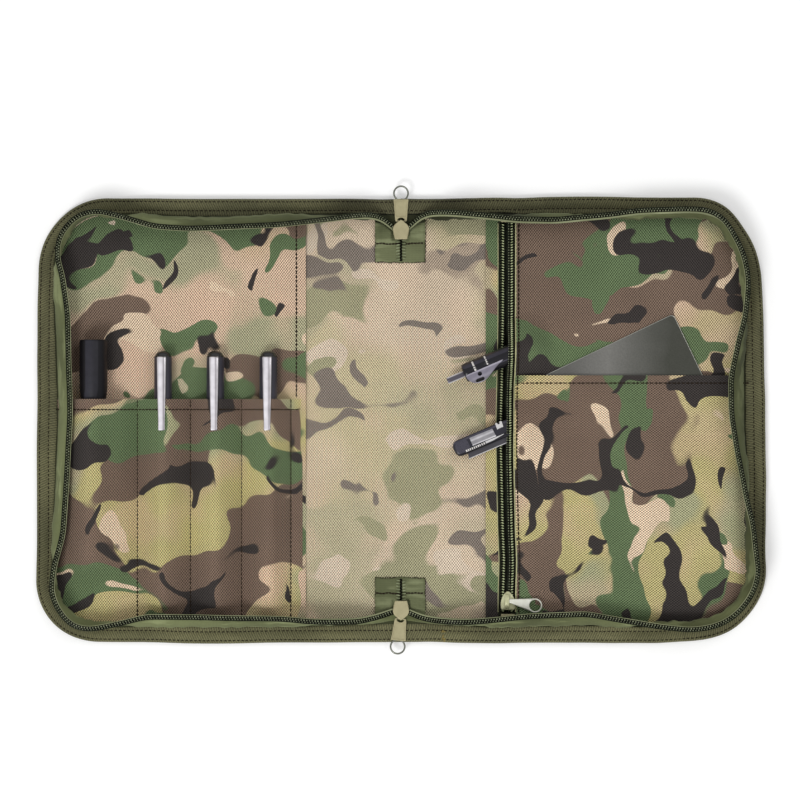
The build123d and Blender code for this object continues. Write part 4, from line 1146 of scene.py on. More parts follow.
def hoop(name, centre, radius, wire, z, material, count=64):
    """A round ring of wire, lying flat."""
    angle = np.arange(count)[:, None] * TAU / count
    small = np.arange(14) * TAU / 14
    r = radius + wire * np.cos(small)
    x, y = centre[0] + np.cos(angle) * r, centre[1] + np.sin(angle) * r
    verts = places(x, y, z + wire * np.sin(small) + 0 * angle)
    faces = grid_faces(count, 14, True)
    faces += [((count - 1) * 14 + j, (count - 1) * 14 + (j + 1) % 14, (j + 1) % 14, j) for j in range(14)]
    return face_out(add_mesh(name, verts, faces, material))


def joined(name, objs):
    """Several pieces made into one mesh that keeps each one's material."""
    for obj in bpy.context.selected_objects:
        obj.select_set(False)
    for obj in objs:
        obj.select_set(True)
    bpy.context.view_layer.objects.active = objs[0]
    bpy.ops.object.join()
    objs[0].name = objs[0].data.name = name
    return objs[0]


def dress(node, material):
    """Give a CAD node that shows as it is its material."""
    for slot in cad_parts[node].material_slots:
        slot.material = material


# ------------------------------------------------------------------ hard materials
def painted_metal(name, colour, worn, rough=0.42):
    n = Nodes(name)
    here = n.solid()
    patch = n.span(n.grain(here, 260, 3.0), 0.35, 0.7)
    fine = n.grain(here, 2600, 2.0)
    tone = n.mix(n.times(patch, 0.5), colour, worn)
    tone = n.mix(n.times(n.edge(fine, 0.64, 0.05), 0.25), tone, darker(colour, 0.6))
    return n.finish(tone, rough, fine, 0.00004, Specular_IOR_Level=0.5, Metallic=0.15)


def bare_metal(name, colour, rough, grain=(400, 6000, 6000), metallic=0.6):
    n = Nodes(name)
    streak = n.grain(n.solid(grain), 1.0, 2.0)
    tone = n.mix(n.span(streak, 0.3, 0.7), colour, darker(colour, 0.82))
    roughness = n.span(streak, 0.3, 0.7, rough * 0.8, rough * 1.25)
    return n.finish(tone, roughness, streak, 0.00003, Metallic=metallic)


def plastic(name, colour, rough, coat=0.0, specular=0.5):
    n = Nodes(name)
    here = n.solid()
    fine, wide = n.grain(here, 1800, 2.0), n.grain(here, 90, 2.0)
    tone = n.mix(n.span(wide, 0.3, 0.7), colour, darker(colour, 0.8))
    roughness = n.span(fine, 0.3, 0.7, rough * 0.85, rough * 1.2)
    return n.finish(tone, roughness, fine, 0.00004, Coat_Weight=coat, Specular_IOR_Level=specular)


def metal_with_painted_reflection(name, colour, dark, dark_from, dark_to):
    """A turned metal pin with a painted dark reflection along its top, from and to millimetres round it."""
    n = Nodes(name)
    painted_dark_reflection = n.between(n.split(n.cut())[1], dark_from * MM, dark_to * MM, 0.5 * MM)
    return n.finish(n.mix(painted_dark_reflection, colour, dark), 0.25, Metallic=0.3)


def painted_light_bands(name, bands, rough, specular=0.3, metallic=0.0, coat=0.0, place=None):
    """A hard face in lengthwise bands of painted light and shade: (from, softness, colour) in millimetres
    across its own cut, or across a line that starts at place and runs the way of the tools."""
    n = Nodes(name)
    if place is None:
        where = n.cut()
    else:
        along, aside = -float(place @ TOOL_WAY) * MM, -float(place @ TOOL_SIDE) * MM
        where = n.cut(place=(along, aside, 0), turn=-TOOL_TURN)
    across = n.split(where)[1]
    fine = n.grain(n.solid(), 1800, 2.0)
    tone = srgb(*bands[0][2])
    for start, soft, colour in bands[1:]:
        tone = n.mix(n.edge(across, start * MM, soft * MM), tone, srgb(*colour))
    shade = n.span(n.grain(n.solid(), 240, 2.0), 0.3, 0.7, 0.88, 1.12)
    sockets = {"Metallic": metallic, "Coat_Weight": coat, "Specular_IOR_Level": specular}
    return n.finish(n.shaded(tone, shade), rough, fine, 0.00003, **sockets)


def metal_with_painted_sheen(name, light, dark, shade_at, light_at, dark_at):
    """Flat metal with a painted reflection across it: painted shade first, then light, then dark, with a fine
    grain.
    """
    n = Nodes(name)
    here = n.solid()
    wander = 0.03
    drift = n.times(n.grain(here, 24, 2.0), wander, n.split(here)[0])
    shade_at, light_at, dark_at = (at * MM + wander / 2 for at in (shade_at, light_at, dark_at))
    tone = n.mix(n.span(drift, light_at, dark_at), light, dark)
    fine = n.grain(here, 1500, 1.0)
    shade = n.times(n.span(fine, 0.3, 0.7, 0.9, 1.1), n.span(drift, shade_at, light_at, 0.62, 1.0))
    return n.finish(n.shaded(tone, shade), 0.42, fine, 0.00003, Metallic=0.55)


KHAKI_METAL = painted_metal("slider_khaki", srgb(168, 160, 124), srgb(148, 140, 106))
PALE_METAL = painted_metal("pull_pale", srgb(226, 226, 216), srgb(200, 198, 180), 0.3)
SLIDER_PALE = painted_metal("pocket_slider_pale", srgb(202, 202, 164), srgb(170, 168, 128), 0.32)
RING_METAL = bare_metal("ring_grey_metal", srgb(122, 124, 114), 0.35)
SILVER = bare_metal("clip_silver", srgb(222, 216, 222), 0.26, (1500, 40, 1500), 0.55)
BRIGHT = bare_metal("bright_silver", srgb(228, 226, 226), 0.2, (900, 900, 900), 0.5)
# the card's rim is a painted highlight, lighter than its face all round
CARD_RIM_HIGHLIGHT = bare_metal("card_rim_painted_highlight", srgb(176, 176, 168), 0.3)
CARD_STEEL = metal_with_painted_sheen("card_steel_painted_sheen", srgb(119, 118, 114), srgb(66, 67, 60), 95, 124, 157)
BUTTON = metal_with_painted_reflection("button_steel", srgb(226, 224, 228), srgb(84, 80, 90), 1.6, 4.6)
CAP_PLASTIC = plastic("cap_plastic", srgb(52, 50, 60), 0.38, specular=0.4)
DOME_PLASTIC = plastic("dome_plastic", srgb(30, 29, 31), 0.16, coat=0.3)
MARKER_PLASTIC = plastic("marker_plastic_black", srgb(24, 22, 30), 0.5, specular=0.25)
TOOL_PLASTIC = plastic("tool_plastic_black", srgb(34, 33, 41), 0.32, coat=0.08, specular=0.3)
TOOL_COLLAR = plastic("tool_collar_grey", srgb(58, 56, 68), 0.3)
TOOL_BAR = plastic("tool_bar_grey", srgb(66, 64, 71), 0.35)
CLIP_SHADOW_BLACK = plastic("recess_painted_shadow", srgb(22, 20, 22), 0.6)
MARKING = plastic("pale_marking", srgb(226, 222, 218), 0.4)
# Painted light and shade: these bands stand in for how light falls across round and bevelled faces, with the
# marker cap's shaded sides and lit middle, painted highlights along the click pen's barrel, its clip and the
# tool body, and painted reflections on the steel faces of the tool and the pens' clips.
MARKER_PAINTED_FACETS = painted_light_bands(
    "marker_black_painted_facets",
    ((0, 0, (10, 9, 15)), (9.6, 0.5, (32, 31, 37)), (13.5, 2.5, (42, 41, 49)), (17.6, 0.5, (14, 12, 16))),
    0.5, 0.25,
)
CLICK_PLASTIC = painted_light_bands(
    "click_black_painted_highlights",
    ((0, 0, (18, 17, 24)), (6.4, 0.2, (66, 64, 76)), (7.1, 0.2, (20, 19, 26)), (11.4, 0.3, (48, 46, 56)),
     (14.2, 0.5, (24, 22, 30))), 0.25, coat=0.1,
)
LEAF = painted_light_bands(
    "clip_leaf_painted_shading",
    ((-9, 0, (188, 184, 196)), (-7.6, 0.5, (158, 154, 167)), (-4.6, 1.2, (132, 128, 141)),
     (-1.9, 0.3, (172, 168, 180))),
    0.3, 0.5, 0.45, place=CLICK_START,
)
TOOL_BODY = painted_light_bands(
    "tool_body_painted_shading",
    ((-9, 0, (20, 19, 26)), (-1.9, 0.3, (38, 37, 46)), (3.2, 0.3, (66, 64, 76)), (4.4, 0.3, (40, 38, 46))),
    0.3, coat=0.08, place=TOOL_START,
)
TOOL_FACE = painted_light_bands(
    "tool_face_painted_reflection",
    ((-5, 0, (222, 220, 224)), (-1.2, 0.4, (150, 148, 152)), (0.9, 0.3, (196, 194, 198)),
     (2.0, 0.4, (160, 158, 163))),
    0.3, 0.5, 0.45, place=TOOL_START,
)
CLIP_FACE = painted_light_bands(
    "clip_steel_painted_highlights",
    ((-3, 0, (196, 192, 196)), (-1.7, 0.3, (236, 232, 238)), (0.4, 0.6, (204, 200, 205)),
     (0.95, 0.15, (158, 153, 158)), (1.5, 0.15, (206, 202, 206))),
    0.26, 0.5, 0.5,
)

# ------------------------------------------------------------------ pens and marker
# down the clip: distance from its top, half width, height of its middle, how much it crowns
CLIP_ROWS = (
    (0.0, 2.45, 0.3, 0.10), (0.25, 2.65, 0.75, 0.25), (0.9, 2.72, 0.95, 0.35), (8, 2.6, 1.05, 0.42),
    (16, 2.5, 1.0, 0.42), (24, 2.35, 0.85, 0.4), (31, 2.15, 0.62, 0.36), (37, 1.98, 0.42, 0.32),
    (41, 1.9, 0.42, 0.3), (42.4, 2.0, 0.65, 0.26), (43.2, 1.95, 0.85, 0.2), (43.5, 1.7, 0.8, 0.1),
)
# across the clip: share of the half width, share of the crown
CLIP_ARCH = np.array([
    (-1, -0.55), (-0.96, 0.1), (-0.8, 0.55), (-0.45, 0.9), (0, 1.0), (0.45, 0.9), (0.8, 0.55), (0.96, 0.1),
    (1, -0.55),
])

for pen in PENS:
    mouth, t = low(f"{pen}_cap")[1], high(f"{pen}_cap")[1] - low(f"{pen}_cap")[1]
    x, _, z = middle(f"{pen}_cap")
    start, along_y = (x, mouth, z), (0, 1, 0)
    body = lathe(
        f"{pen}_cap_body", start, along_y,
        [(30, 4.5), (0.25, 4.62), (0, 4.8), (0.0, 5.1), (0.25, PEN_RADIUS), (10, 5.28), (30, 5.27),
         (t - 3.9, 5.2), (t - 3.55, 5.05), (t - 3.5, 4.6)],
        CAP_PLASTIC, facet=0.004,
    )
    dome = lathe(
        f"{pen}_cap_dome", start, along_y,
        [(t - 4.4, 3.6), (t - 3.9, 5.0), (t - 3.4, 5.24), (t - 3.0, 5.1), (t - 2.7, 4.75), (t - 2.0, 4.5),
         (t - 1.2, 3.95), (t - 0.6, 3.1), (t - 0.2, 2.0), (t, 0.5)],
        DOME_PLASTIC,
    )
    finish_piece(joined(f"{pen}_cap_shape", [body, dome]), [f"{pen}_cap"], f"{pen}_cap")
    cx, c_top, base = middle(f"{pen}_clip")[0], high(f"{pen}_clip")[1], high(f"{pen}_clip")[2] - 1.35
    half, arch = CLIP_ARCH.T
    verts = np.concatenate([
        row for y, w, h, crown in CLIP_ROWS for row in (
            places(cx + half * w, c_top - y, base + h + crown * arch),
            places(cx + half[::-1] * w * 0.9, c_top - y, base + h - 0.55 + crown * arch[::-1] * 0.4),
        )
    ])
    cut = places(verts[:, 1], verts[:, 0] - cx)
    clip = face_out(add_mesh(f"{pen}_clip_strip", verts, tube_faces(len(CLIP_ROWS), 18), CLIP_FACE, cut))
    foot = rounded(rect(cx - 2.1, c_top - 3.2, cx + 2.1, c_top - 0.4), 0.5)
    root = plate(f"{pen}_clip_root", [foot], z + 4.4, base + 0.5, 0.15, SILVER)
    finish_piece(joined(f"{pen}_clip_shape", [clip, root]), [f"{pen}_clip"], f"{pen}_cap")
    dress(f"{pen}_barrel", CAP_PLASTIC)

mouth, t = low("marker_cap")[1], high("marker_cap")[1] - low("marker_cap")[1]
x, _, z = middle("marker_cap")
marker = lathe(
    "marker_cap_shape", (x, mouth, z), (0, 1, 0),
    [(22, 6.2), (0.3, 6.6), (0, 6.85), (0, 7.05), (0.25, 7.2), (1.5, 7.25), (6.5, 7.9), (9.5, MARKER_RADIUS),
     (t - 1.2, MARKER_RADIUS), (t - 0.5, 8.1), (t - 0.1, 7.6), (t, 6.8), (t - 0.25, 5.6), (t - 0.3, 0.6)],
    MARKER_PAINTED_FACETS, ring=64, facet=0.006,
)
finish_piece(marker, ["marker_cap"], "marker_cap")
dress("marker_barrel", MARKER_PLASTIC)

# ------------------------------------------------------------------ click pen
def click_side(x, y):
    """How far beside the click pen's middle a place lies."""
    return (np.array([x, y]) - CLICK_START) @ TOOL_SIDE


def click_plate(name, loops, z_low, z_high, edge, material, rise):
    return plate(name, turned(loops, CLICK_START, TOOL_WAY), z_low, z_high, edge, material, rise)


def on_barrel(x, y):
    return CLICK_Z + math.sqrt(max(0, 5.66**2 - click_side(x, y) ** 2))


def on_clip(x, y):
    return CLICK_Z + 5.55 - 0.075 * click_side(x, y) ** 2


barrel = [lathe(
    "click_barrel", (*CLICK_START, CLICK_Z), (*TOOL_WAY, 0),
    [(9, 2.3), (0.4, 2.4), (0.1, 2.7), (0, 4.4), (0.25, 5.0), (0.8, 5.35), (2.0, 5.6), (6.3, 5.7), (6.5, 5.62),
     (7.6, 5.62), (7.8, 5.7), (14.4, 5.7), (14.6, 5.62), (15.4, 5.62), (15.6, 5.7), (36, 5.7), (40, 4.9),
     (43.4, 3.4), (44, 2.9)],
    CLICK_PLASTIC, facet=0.004,
)]
# pale rings round the barrel, in short pieces: where, how wide, and from and to beside the middle
DASH = 0.4
for at, width, pieces in (
    (7.05, 1.1, ((4.9, 2.1), (1.5, 0.7), (0.3, -0.9))),
    (15.0, 0.9, ((5.1, 3.5), (3.0, 2.2), (1.8, 1.0), (0.5, -0.3))),
):
    for end in [end + k * DASH for start, end in pieces for k in range(int((start - end) / DASH + 0.5))]:
        dash = np.array(rect(at - width / 2, end, at + width / 2, end + DASH))
        name = f"click_band_{len(barrel) - 1}"
        barrel.append(click_plate(name, [dash], -0.5, 0.06, 0.02, MARKING, on_barrel))
finish_piece(joined("click_pen_body", barrel), ["click_pen_barrel"], "click_pen")
leaf = [
    (0.6, -1.2), (0.4, -3.4), (2.2, -6.6), (5.5, -8.4), (9.0, -8.6), (12.2, -7.6), (15.5, -5.6), (20, -3.0),
    (25.5, -0.9), (18, -1.0),
]
slot_hole = [(5.0, -7.7), (9.6, -7.9), (10.4, -6.9), (9.9, -6.0), (5.6, -5.7), (4.6, -6.6)]
under = [(2.5, -1.2), (2.4, -5.8), (5.5, -7.9), (9.0, -8.1), (12.0, -7.0), (15.0, -5.2), (15, -1.2)]
leaf_loops = [rounded(leaf, 2.0, 5), rounded(slot_hole, 0.9, 4), circle((8.6, -3.5), 1.25, 20)]
click_clip = joined("click_clip_plate", [
    click_plate("click_clip_plate", leaf_loops, 0, 0.9, 0.25, LEAF, on_clip),
    # a black plate under the clip, painted as the shadow seen through its slot
    click_plate("click_clip_shadow_plate", [rounded(under, 1.5, 5)], -0.7, -0.3, 0.1, CLIP_SHADOW_BLACK, on_clip),
])
finish_piece(click_clip, ["click_pen_clip"], "click_pen")
button = lathe(
    "click_button_shape", (*(CLICK_START - TOOL_WAY * 10.8), middle("click_pen_button")[2]), (*TOOL_WAY, 0),
    [(0, 1.1), (0.15, 1.6), (0.6, 1.95), (1.4, 2.0), (10.0, 2.0), (10.6, 1.9), (22.0, 1.9)], BUTTON,
)
finish_piece(button, ["click_pen_button"], "click_button")

# ------------------------------------------------------------------ pocket tool
def tool_plate(name, outline, z_low, z_high, edge, material, radius=0.0):
    """radius rounds the outline's corners; without one they stay sharp."""
    loop = rounded(outline, radius) if radius else dense_loop(outline, 1.0)
    return plate(name, turned([loop], TOOL_START, TOOL_WAY), z_low, z_high, edge, material)


def tool_piece(kind, parts):
    finish_piece(joined(f"pocket_tool_{kind}_shape", parts), [f"pocket_tool_{kind}"], "pocket_tool")


tb, tt, half_w = low("pocket_tool_body")[2], TOOL_TOP, TOOL_WIDTH / 2
rng = np.random.default_rng(77)
tool_piece("body", [
    tool_plate("tool_body", rect(0, -half_w, TOOL_LENGTH, half_w), tb, tt - 0.15, 1.5, TOOL_BODY, 4.4),
    tool_plate("tool_collar", rect(1.3, -3.5, 9.6, 3.5), tt - 0.6, tt, 0.3, TOOL_COLLAR, 2.4),
    tool_plate("tool_rib", rect(10.4, -half_w + 0.7, 34, -half_w + 1.5), tt - 0.5, tt + 0.1, 0.2, TOOL_PLASTIC),
])
face = [(11.4, -1.7), (26.3, -2.0), (25.8, 3.1), (11.2, 3.3)]
wedge = [(19.0, -3.6), (24.0, -3.5), (31.0, -2.6), (31.0, -2.35), (19.0, -2.2)]
latch = [(28.3, 1.6), (32.4, 1.6), (32.6, 5.2), (31.3, 5.3), (31.0, 4.1), (29.9, 4.1), (29.7, 5.3), (28.5, 5.2)]
bar = [(6.2, -half_w - 2.9), (44, -half_w - 2.9), (44, -half_w + 0.4), (7.2, -half_w + 0.4)]
tool_piece("plate", [
    tool_plate("tool_face", face, tt - 0.4, tt + 0.15, 0.12, TOOL_FACE),
    *(
        tool_plate(f"tick_{number}", rect(at, -3.7, at + wide, -2.45), tt - 0.4, tt + 0.12, 0.05, MARKING)
        for number, (at, wide) in enumerate((6.4 + 1.25 * k, 0.55 + 0.35 * rng.random()) for k in range(10))
    ),
    tool_plate("tool_wedge", wedge, tt - 0.4, tt + 0.16, 0.08, BRIGHT),
])
tool_piece("latch", [tool_plate("latch", latch, tt - 0.3, tt + 0.85, 0.18, BRIGHT)])
tool_piece("bar", [
    tool_plate("tool_bar", bar, tb + 0.1, tb + 2.2, 0.25, TOOL_BAR),
    tool_plate("tool_bar_edge", rect(6.2, -half_w - 3.35, 44, -half_w - 2.8), tb + 0.2, tb + 2.5, 0.15, BRIGHT),
])

# ------------------------------------------------------------------ steel card
card_turn = math.radians(25.6)
outer, inner = turned(
    [rounded(rect(-42.8, -27, 42.8, 27), 3.0), rounded(rect(-42.45, -26.65, 42.45, 26.65), 2.7)],
    middle("steel_card")[:2], np.array([math.cos(card_turn), math.sin(card_turn)]),
)
card_low, card_high = low("steel_card")[2], high("steel_card")[2]
card = joined("steel_card_shape", [
    plate("card_rim", [outer, inner], card_low, card_high, 0.12, CARD_RIM_HIGHLIGHT),
    plate("card_face", [inner], card_low + 0.02, card_high - 0.03, 0.05, CARD_STEEL),
])
finish_piece(card, ["steel_card"], "steel_card")

# ------------------------------------------------------------------ main sliders and pulls
_, slider_tail, _ = low("top_slider")
_, slider_nose, slider_top = high("top_slider")
shoulder = slider_nose - 4.4
slider_outline = np.array([
    (-3.75, slider_tail), (3.75, slider_tail), (3.95, slider_tail + 1.6), (4.75, shoulder - 2.2),
    (4.85, shoulder - 0.6), (4.0, shoulder + 1.2), (1.7, shoulder + 3.2), (0, slider_nose),
    (-1.7, shoulder + 3.2), (-4.0, shoulder + 1.2), (-4.85, shoulder - 0.6), (-4.75, shoulder - 2.2),
    (-3.95, slider_tail + 1.6),
])
post_outline = np.array(rect(-1.1, shoulder - 2.2, 1.1, shoulder - 0.4))
# the pull, along and beside it from its pin
PULL_Z = 5.25
blade = rounded(both_sides([(2.3, -3.25), (3.6, -3.55), (9, -3.9), (15.2, -4.45), (15.5, -4.3)]), 0.6, 4)
window = rounded(both_sides([(5.4, -2.9), (9, -3.15), (14.6, -3.65)]), 0.5, 4)
neck = rounded(rect(-1.2, -1.6, 2.8, 1.6), 0.8)
half_turn = np.linspace(0, math.pi, 12)
pin_hole = places(2.9 + 1.75 * np.sin(half_turn), 2.2 * np.cos(half_turn))

for end, way in ENDS:
    outline = slider_outline * (1, way)
    back = outline * (0.96, 0.62) + (0, slider_tail * way * 0.38)
    slider = joined(f"{end}_slider_shape", [
        plate(f"{end}_{part}", [loop], z_low, z_high, edge, KHAKI_METAL)
        for part, loop, z_low, z_high, edge in (
            ("crown", rounded(outline, 0.7, 4), slider_top - 1.15, slider_top - 0.05, 0.4),
            ("belly", rounded(back, 0.7, 4), 4.75, 5.1, 0.1),
            ("post", rounded(post_outline * (1, way), 0.4), 5.0, slider_top - 0.8, 0.1),
        )
    ])
    finish_piece(slider, [f"{end}_slider"], f"{end}_slider")

    pin = np.array([0.0, (slider_nose - 3.4) * way])
    lean = 0.0 if end == "top" else math.radians(-6.0)
    out = np.array([math.sin(lean), math.cos(lean) * way])
    pull = joined(f"{end}_pull_shape", [
        plate(f"{end}_{part}", turned(loops, pin, out), PULL_Z + z_low, PULL_Z + z_high, edge, KHAKI_METAL)
        for part, loops, z_low, z_high, edge in (
            ("blade", [blade, pin_hole], 0, 0.8, 0.15), ("rim", [blade, window, pin_hole], 0.6, 1.12, 0.18),
        )
    ] + [
        hoop(f"{end}_wire", pin + out * 19.1, 4.2, 0.52, 5.75, RING_METAL),
        plate(f"{end}_neck", turned([neck], pin, out), PULL_Z, PULL_Z + 0.9, 0.2, KHAKI_METAL),
    ])
    finish_piece(pull, [f"{end}_pull"], f"{end}_pull")


# ------------------------------------------------------------------ end tabs of the main zip
def chain_reach(x):
    """How far from the middle the main zip's chain stands at x beside the sliders."""
    inner = np.abs(chain_points("left", np.linspace(CHAIN_START, 44, 80), 2.2)[0])
    return np.interp(np.abs(x), inner[:, 0], inner[:, 1])


def fray(name, centres, ways, length, width, height, material):
    ways = places(*ways, 0)
    return add_mesh(name, *stitch_parts(centres, ways, length, width, height), material)


ACROSS = (1.0, 0.0, 0.0)
for end, way in ENDS:
    tab_end, tab_out = 93.5, 120.0
    x, y = np.meshgrid(spaced(-15.4, 14.4, 0.8), spaced(tab_end, tab_out, 0.8))
    wavy = 0.5 * soft_noise(x, 0, 9, 61 if way > 0 else 62) * smooth_step(99, 94, y)
    sew = y - 0.15 * soft_noise(x, 0, 6, 63)
    tuck = 104.8 if way > 0 else 102.8  # where a row of stitches pulls the tab in
    z = 5.35 + 0.5 * bump(sew, tuck - 5, 4) - 0.6 * bump(sew, tuck, 1.0)
    z += 0.95 * bump(sew, tuck + 4.5, 3.2) * smooth_step(2.6, 7, np.abs(x))
    z += smooth_step(107, 119, y) * (chain_height(np.abs(x)) - 6.0) * 0.85
    z += 0.55 * soft_noise(x, y, 7, 64 + way) * smooth_step(104, 108, y)
    z = FLOOR_Z + (z - FLOOR_Z) * smooth_step(0.6, -1.6, y - chain_reach(x))
    edges = smooth_step(tab_end + 0.9, tab_end, y) + smooth_step(13.6, 14.4, x) + smooth_step(-14.6, -15.4, x)
    under_slider = (np.abs(x) < 5.2) & (y > 106.4)
    z = np.where(under_slider, FLOOR_Z, np.maximum(z - 0.9 * edges, FLOOR_Z))
    tab = face_up(add_mesh(f"{end}_tab_cloth", places(x, (y + wavy) * way, z), grid_faces(*x.shape), TAB_CLOTH))
    finish_piece(tab, [f"{end}_tab"], "spine")
    line_x = np.linspace(-15, 14.2, 120)
    line = places(line_x, (tuck + 0.35 * soft_noise(line_x, 0, 7, 71 + way)) * way, 5.2)
    seam = stitches(f"{end}_tab_stitches", [line], THREAD_BROWN, 1.9, 2.1, 0.95, 0.7)
    finish_piece(seam, [], "spine")
    rng = np.random.default_rng(31 + way)
    up_y = np.linspace(94, 112, 22)
    border = np.concatenate([places(-15.2, up_y), places(np.linspace(-15, 14, 34), 93.7), places(14.3, up_y)])
    count = len(border)
    border = (border + rng.normal(0, 0.16, border.shape)).T
    border = places(*border, 4.75 + 0.3 * rng.random(count)) * (1, way, 1)
    ways = (rng.normal(0, 1, count), rng.normal(0, 1, count))
    threads = fray(f"{end}_tab_fray", border, ways, 1.3, 0.4, 0.35, THREAD_BROWN)
    finish_piece(threads, [], "spine")
    seam_y = np.linspace(94.3, 107.6, 60) * way
    beam = places(*ACROSS) + 0 * seam_y[:, None]
    loops = [
        coil_parts(places(1.75 * hand, seam_y, 6.15), beam, 1.75, 2.5, 0.62, 0.35, -0.15 * hand, phase)
        for hand, phase in ((-1, 0.0), (1, 0.85))
    ]
    coil = add_mesh(f"{end}_tab_coil_loops", *merged(loops), COIL_TAB)
    finish_piece(coil, [f"{end}_tab_coil"], "spine")
    bed = ribbon(f"{end}_tab_coil_bed", places(0, seam_y, 5.75), beam, 1.5, 0.5, COIL_SHADOW)
    finish_piece(bed, [], "spine")

# ------------------------------------------------------------------ pocket zip
zip_top, zip_low = high("pocket_left_coil")[1] - 2, low("pocket_left_coil")[1]
left_x, right_x = middle("pocket_left_coil")[0] - 0.2, middle("pocket_left_coil")[0] + 5.6
zip_y = np.linspace(zip_low, zip_top, 320)
beam = places(*ACROSS) + 0 * zip_y[:, None]
# each half: its x, how far its coil stands aside and its stitches from it, which way its loops
# slant, its stitches' material, and where its tape goes from and to
for name, x0, aside, stitched, slant, dotted, tape_from, tape_to in (
    ("left", left_x, 0.0, -1.2, -0.4, COIL, -3.6, 0.9),
    ("right", right_x, -0.5, -2.3, 0.4, COIL_CREST, -0.9, 4.6),
):
    is_right = name == "right"
    lift = over_tools(x0, zip_y, ZIP_FLOOR) * is_right
    base = places(x0, zip_y, ZIP_FLOOR + 0.3 + lift)
    bed = ribbon(f"pocket_{name}_coil_bed", base + (aside, 0, 0), beam, 3.6, 0.5, COIL_SHADOW)
    finish_piece(bed, [], "right_cover")
    loops = coil_parts(base + (aside, 0, 0.75), beam, 1.58, 1.5, 0.74, 0.4, slant)
    loops = add_mesh(f"pocket_{name}_coil_loops", *loops, COIL_LIGHT)
    finish_piece(loops, [f"pocket_{name}_coil"], "right_cover")
    dots = stitches(f"pocket_{name}_zip_stitches", [base + (stitched, 0, 0.4)], dotted, 1.58, 0.8, 0.6, 0.5)
    finish_piece(dots, [], "right_cover")
    x, y = np.meshgrid(np.linspace(x0 + tape_from, x0 + tape_to, 6), np.linspace(zip_top + 2, zip_low - 2, 150))
    z = ZIP_FLOOR - 0.1 + 0.12 * np.sin(y / 9.0) * np.abs(x - x0) / 4 + over_tools(x, y, ZIP_FLOOR) * is_right
    tape = add_mesh(f"pocket_{name}_tape_cloth", places(x, y, z), grid_faces(*x.shape), TAPE_DEEP, places(y, x))
    finish_piece(face_up(tape), [f"pocket_{name}_tape"], "right_cover")

for name, x0, surface, lift, width in (
    ("panel", PANEL_EDGE - 0.1, z_panel, 0.0, 0.8), ("strip", STRIP_HIGH - 0.1, z_strip, 0.05, 0.45)
):
    edge = ribbon(f"pocket_{name}_edge", over(surface, x0, zip_y, lift), beam, width, 0.35, THREAD_EDGE)
    finish_piece(edge, [], "right_cover")

# ------------------------------------------------------------------ the binding's overlapped end
rng = np.random.default_rng(5)
count = 26
x, y = OVERLAP + rng.normal(0, 0.7, count), -HALF_HEIGHT + 1.2 + 6.8 * rng.random(count)
centres = places(x, y, 5.0 + 0.35 * rng.random(count))
ways = (rng.normal(-0.6, 0.5, count), rng.normal(0, 1, count))
threads = fray("binding_end_fray", centres, ways, 1.8, 0.3, 0.3, THREAD_FRAY)
finish_piece(threads, [], side="right")

# ------------------------------------------------------------------ the pocket zip's sway, slider, pull, stops
# bend everything that is sewn to the soft zip with it, since it does not run quite straight
for piece in [
    f"pocket_{name}_{kind}" for name in WAY for kind in ("coil_bed", "coil_loops", "zip_stitches", "tape_cloth")
] + [
    "pocket_panel_edge", "pocket_strip_edge", "pocket_strip_cloth", "pocket_panel_cloth", "patch_pocket_cloth",
    "right_cover_stitches",
]:
    mesh = bpy.data.objects[piece].data
    verts = vertices_of(mesh)
    x, y = verts[:, 0] / MM, verts[:, 1] / MM
    aside = 0.6 * bump(y, -84, 13) - 1.25 * bump(y, -8, 42)
    verts[:, 0] += aside * smooth_step(50, 57, x) * smooth_step(96, 74, x) * MM
    mesh.vertices.foreach_set("co", verts.ravel())

sx, sy = (left_x + right_x) / 2, low("pocket_slider")[1]
arch = rounded(np.array([
    (-4.2, 0), (4.2, 0), (4.35, 4.0), (3.7, 7.0), (2.2, 9.6), (0.6, 10.9),
    (-0.6, 10.9), (-2.2, 9.6), (-3.7, 7.0), (-4.35, 4.0),
]) + (sx, sy), 1.3, 4)
bridge = np.array([
    (-0.4, 9.6, 7.6), (-0.5, 8.9, 9.3), (-0.5, 7.2, 10.35), (-0.5, 4.9, 10.5),
    (-0.5, 2.8, 10.2), (-0.4, 1.4, 9.0), (-0.4, 0.9, 7.5),
]) + (sx, sy, 0)
fine = at_run(np.linspace(0, 1, 40), np.linspace(0, 1, len(bridge)), bridge)
bridge = np.column_stack([smooth_curve(column, 5) for column in fine.T])


def domed(x, y):
    return 0.5 * math.exp(-(((x - sx) / 3.2) ** 2)) * math.exp(-(((y - sy - 5) / 5.0) ** 2))


pocket_slider = joined("pocket_slider_shape", [
    plate("ps_top", [arch], 6.88, 7.85, 0.45, SLIDER_PALE, domed),
    plate("ps_low", [arch], 4.25, 4.62, 0.12, KHAKI_METAL),
    plate("ps_post", [circle((sx - 0.75, sy + 9.0), 0.35, 12)], 4.6, 7.2, 0.05, KHAKI_METAL),
    ribbon("ps_bridge", bridge, beam[:40], 2.4, 0.55, SLIDER_PALE),
])
finish_piece(pocket_slider, ["pocket_slider"], "pocket_slider")
EYE = 4.2  # the pull's ring, to its outside
ring_centre = np.array([high("pocket_pull")[0] - EYE, low("pocket_pull")[1] + EYE])
pull_pin = np.array([sx, -107.0])
reach, pull_way = np.linalg.norm(ring_centre - pull_pin), unit(ring_centre - pull_pin)
around = np.linspace(-1.95, 1.95, 40)
root = [(2.3, 1.35), (0.6, 1.15), (0.6, -1.15), (2.3, -1.35)]
cone = np.concatenate([root, places(reach + 4.25 * np.cos(around), 4.25 * np.sin(around))])
pull_z = 9.65
pull_loops = turned([cone, circle((reach, 0), 3.4, 40)], pull_pin, pull_way)
pocket_pull = joined("pocket_pull_shape", [
    plate("pocket_pull_shape", pull_loops, pull_z - 0.85, pull_z + 0.8, 0.55, PALE_METAL),
    hoop("pocket_pull_eye_ring", pull_pin + pull_way * 0.2, 0.95, 0.35, pull_z, PALE_METAL, 24),
])
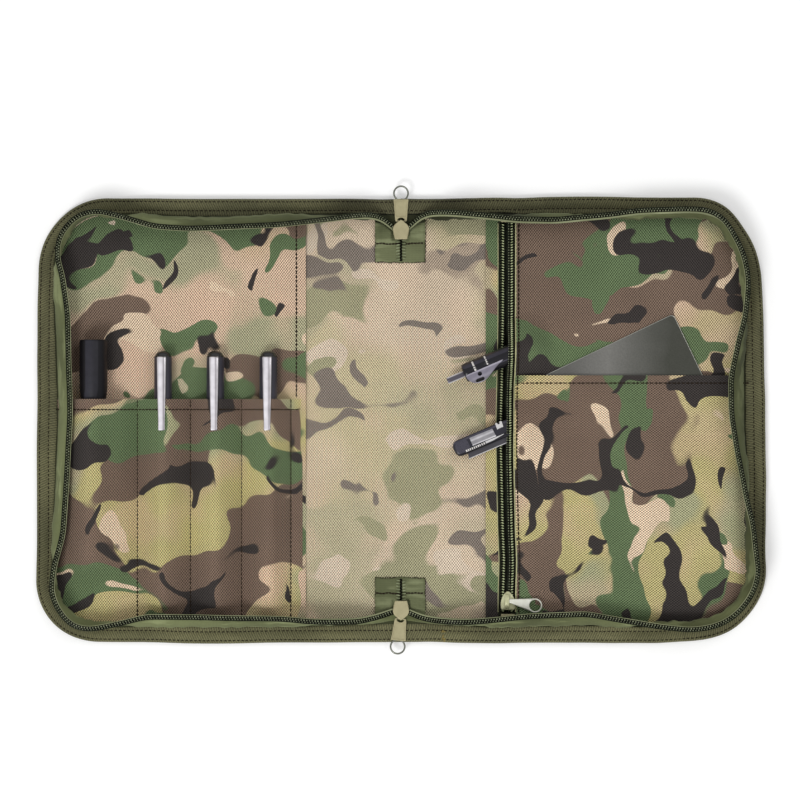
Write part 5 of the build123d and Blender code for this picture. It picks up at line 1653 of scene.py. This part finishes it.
finish_piece(pocket_pull, ["pocket_pull"], "pocket_pull")
stops = [rounded(rect(left_x - 1.2, y0 - 0.8, right_x + 1.2, y0 + 0.8), 0.5) for y0 in (-115.9, 118.3)]
stops = joined("pocket_zip_stops_shape", [
    plate(f"stop_{number}", [stop], 4.9, 6.3, 0.3, KHAKI_METAL) for number, stop in enumerate(stops)
])
finish_piece(stops, ["pocket_zip_stops"], "right_cover")

# ------------------------------------------------------------------ camera, light, floor
camera_data = bpy.data.cameras.new("camera")
camera = put("camera", camera_data)
camera.location = (-0.0006, 0.0119, 2.4)
camera.rotation_euler = (0, 0, 0)
camera_data.sensor_width = 36
camera_data.lens = 181.5
camera_data.clip_end = 50
scene.camera = camera

scene.view_settings.view_transform = "Standard"
world = bpy.data.worlds.new("studio")
world.use_nodes = True
world.node_tree.nodes["Background"].inputs["Color"].default_value = (1, 1, 1, 1)
world.node_tree.nodes["Background"].inputs["Strength"].default_value = 0.64
scene.world = world

for name, place, size, power in (("key", (-0.9, -1.3, 2.1), 0.9, 30), ("fill", (1.2, 1.2, 2.3), 1.6, 11)):
    data = bpy.data.lights.new(name, "AREA")
    data.shape = "DISK"
    data.size = size
    data.energy = power
    lamp = put(name, data)
    lamp.location = place
    lamp.rotation_euler = (-Vector(place)).to_track_quat("-Z", "Y").to_euler()

floor_paint = Nodes("floor_paint")
floor_paint.finish((0.87, 0.87, 0.87), 0.9, Specular_IOR_Level=0.0)
rays = floor_paint.add("LightPath").outputs
seen = rays["Is Camera Ray"]
for kind in ("Is Glossy Ray", "Is Transmission Ray"):
    seen = floor_paint.math("MAXIMUM", seen, rays[kind])
floor_paint.feed(floor_paint.shader.inputs["Emission Color"], (1, 1, 1))
floor_paint.feed(floor_paint.shader.inputs["Emission Strength"], floor_paint.times(seen, 0.16))
FLOOR_REACH = 3000
corners = places(*np.array(rect(-FLOOR_REACH, -FLOOR_REACH, FLOOR_REACH, FLOOR_REACH)).T, -0.3)
add_mesh("floor", corners, [(0, 1, 2, 3)], floor_paint.material)
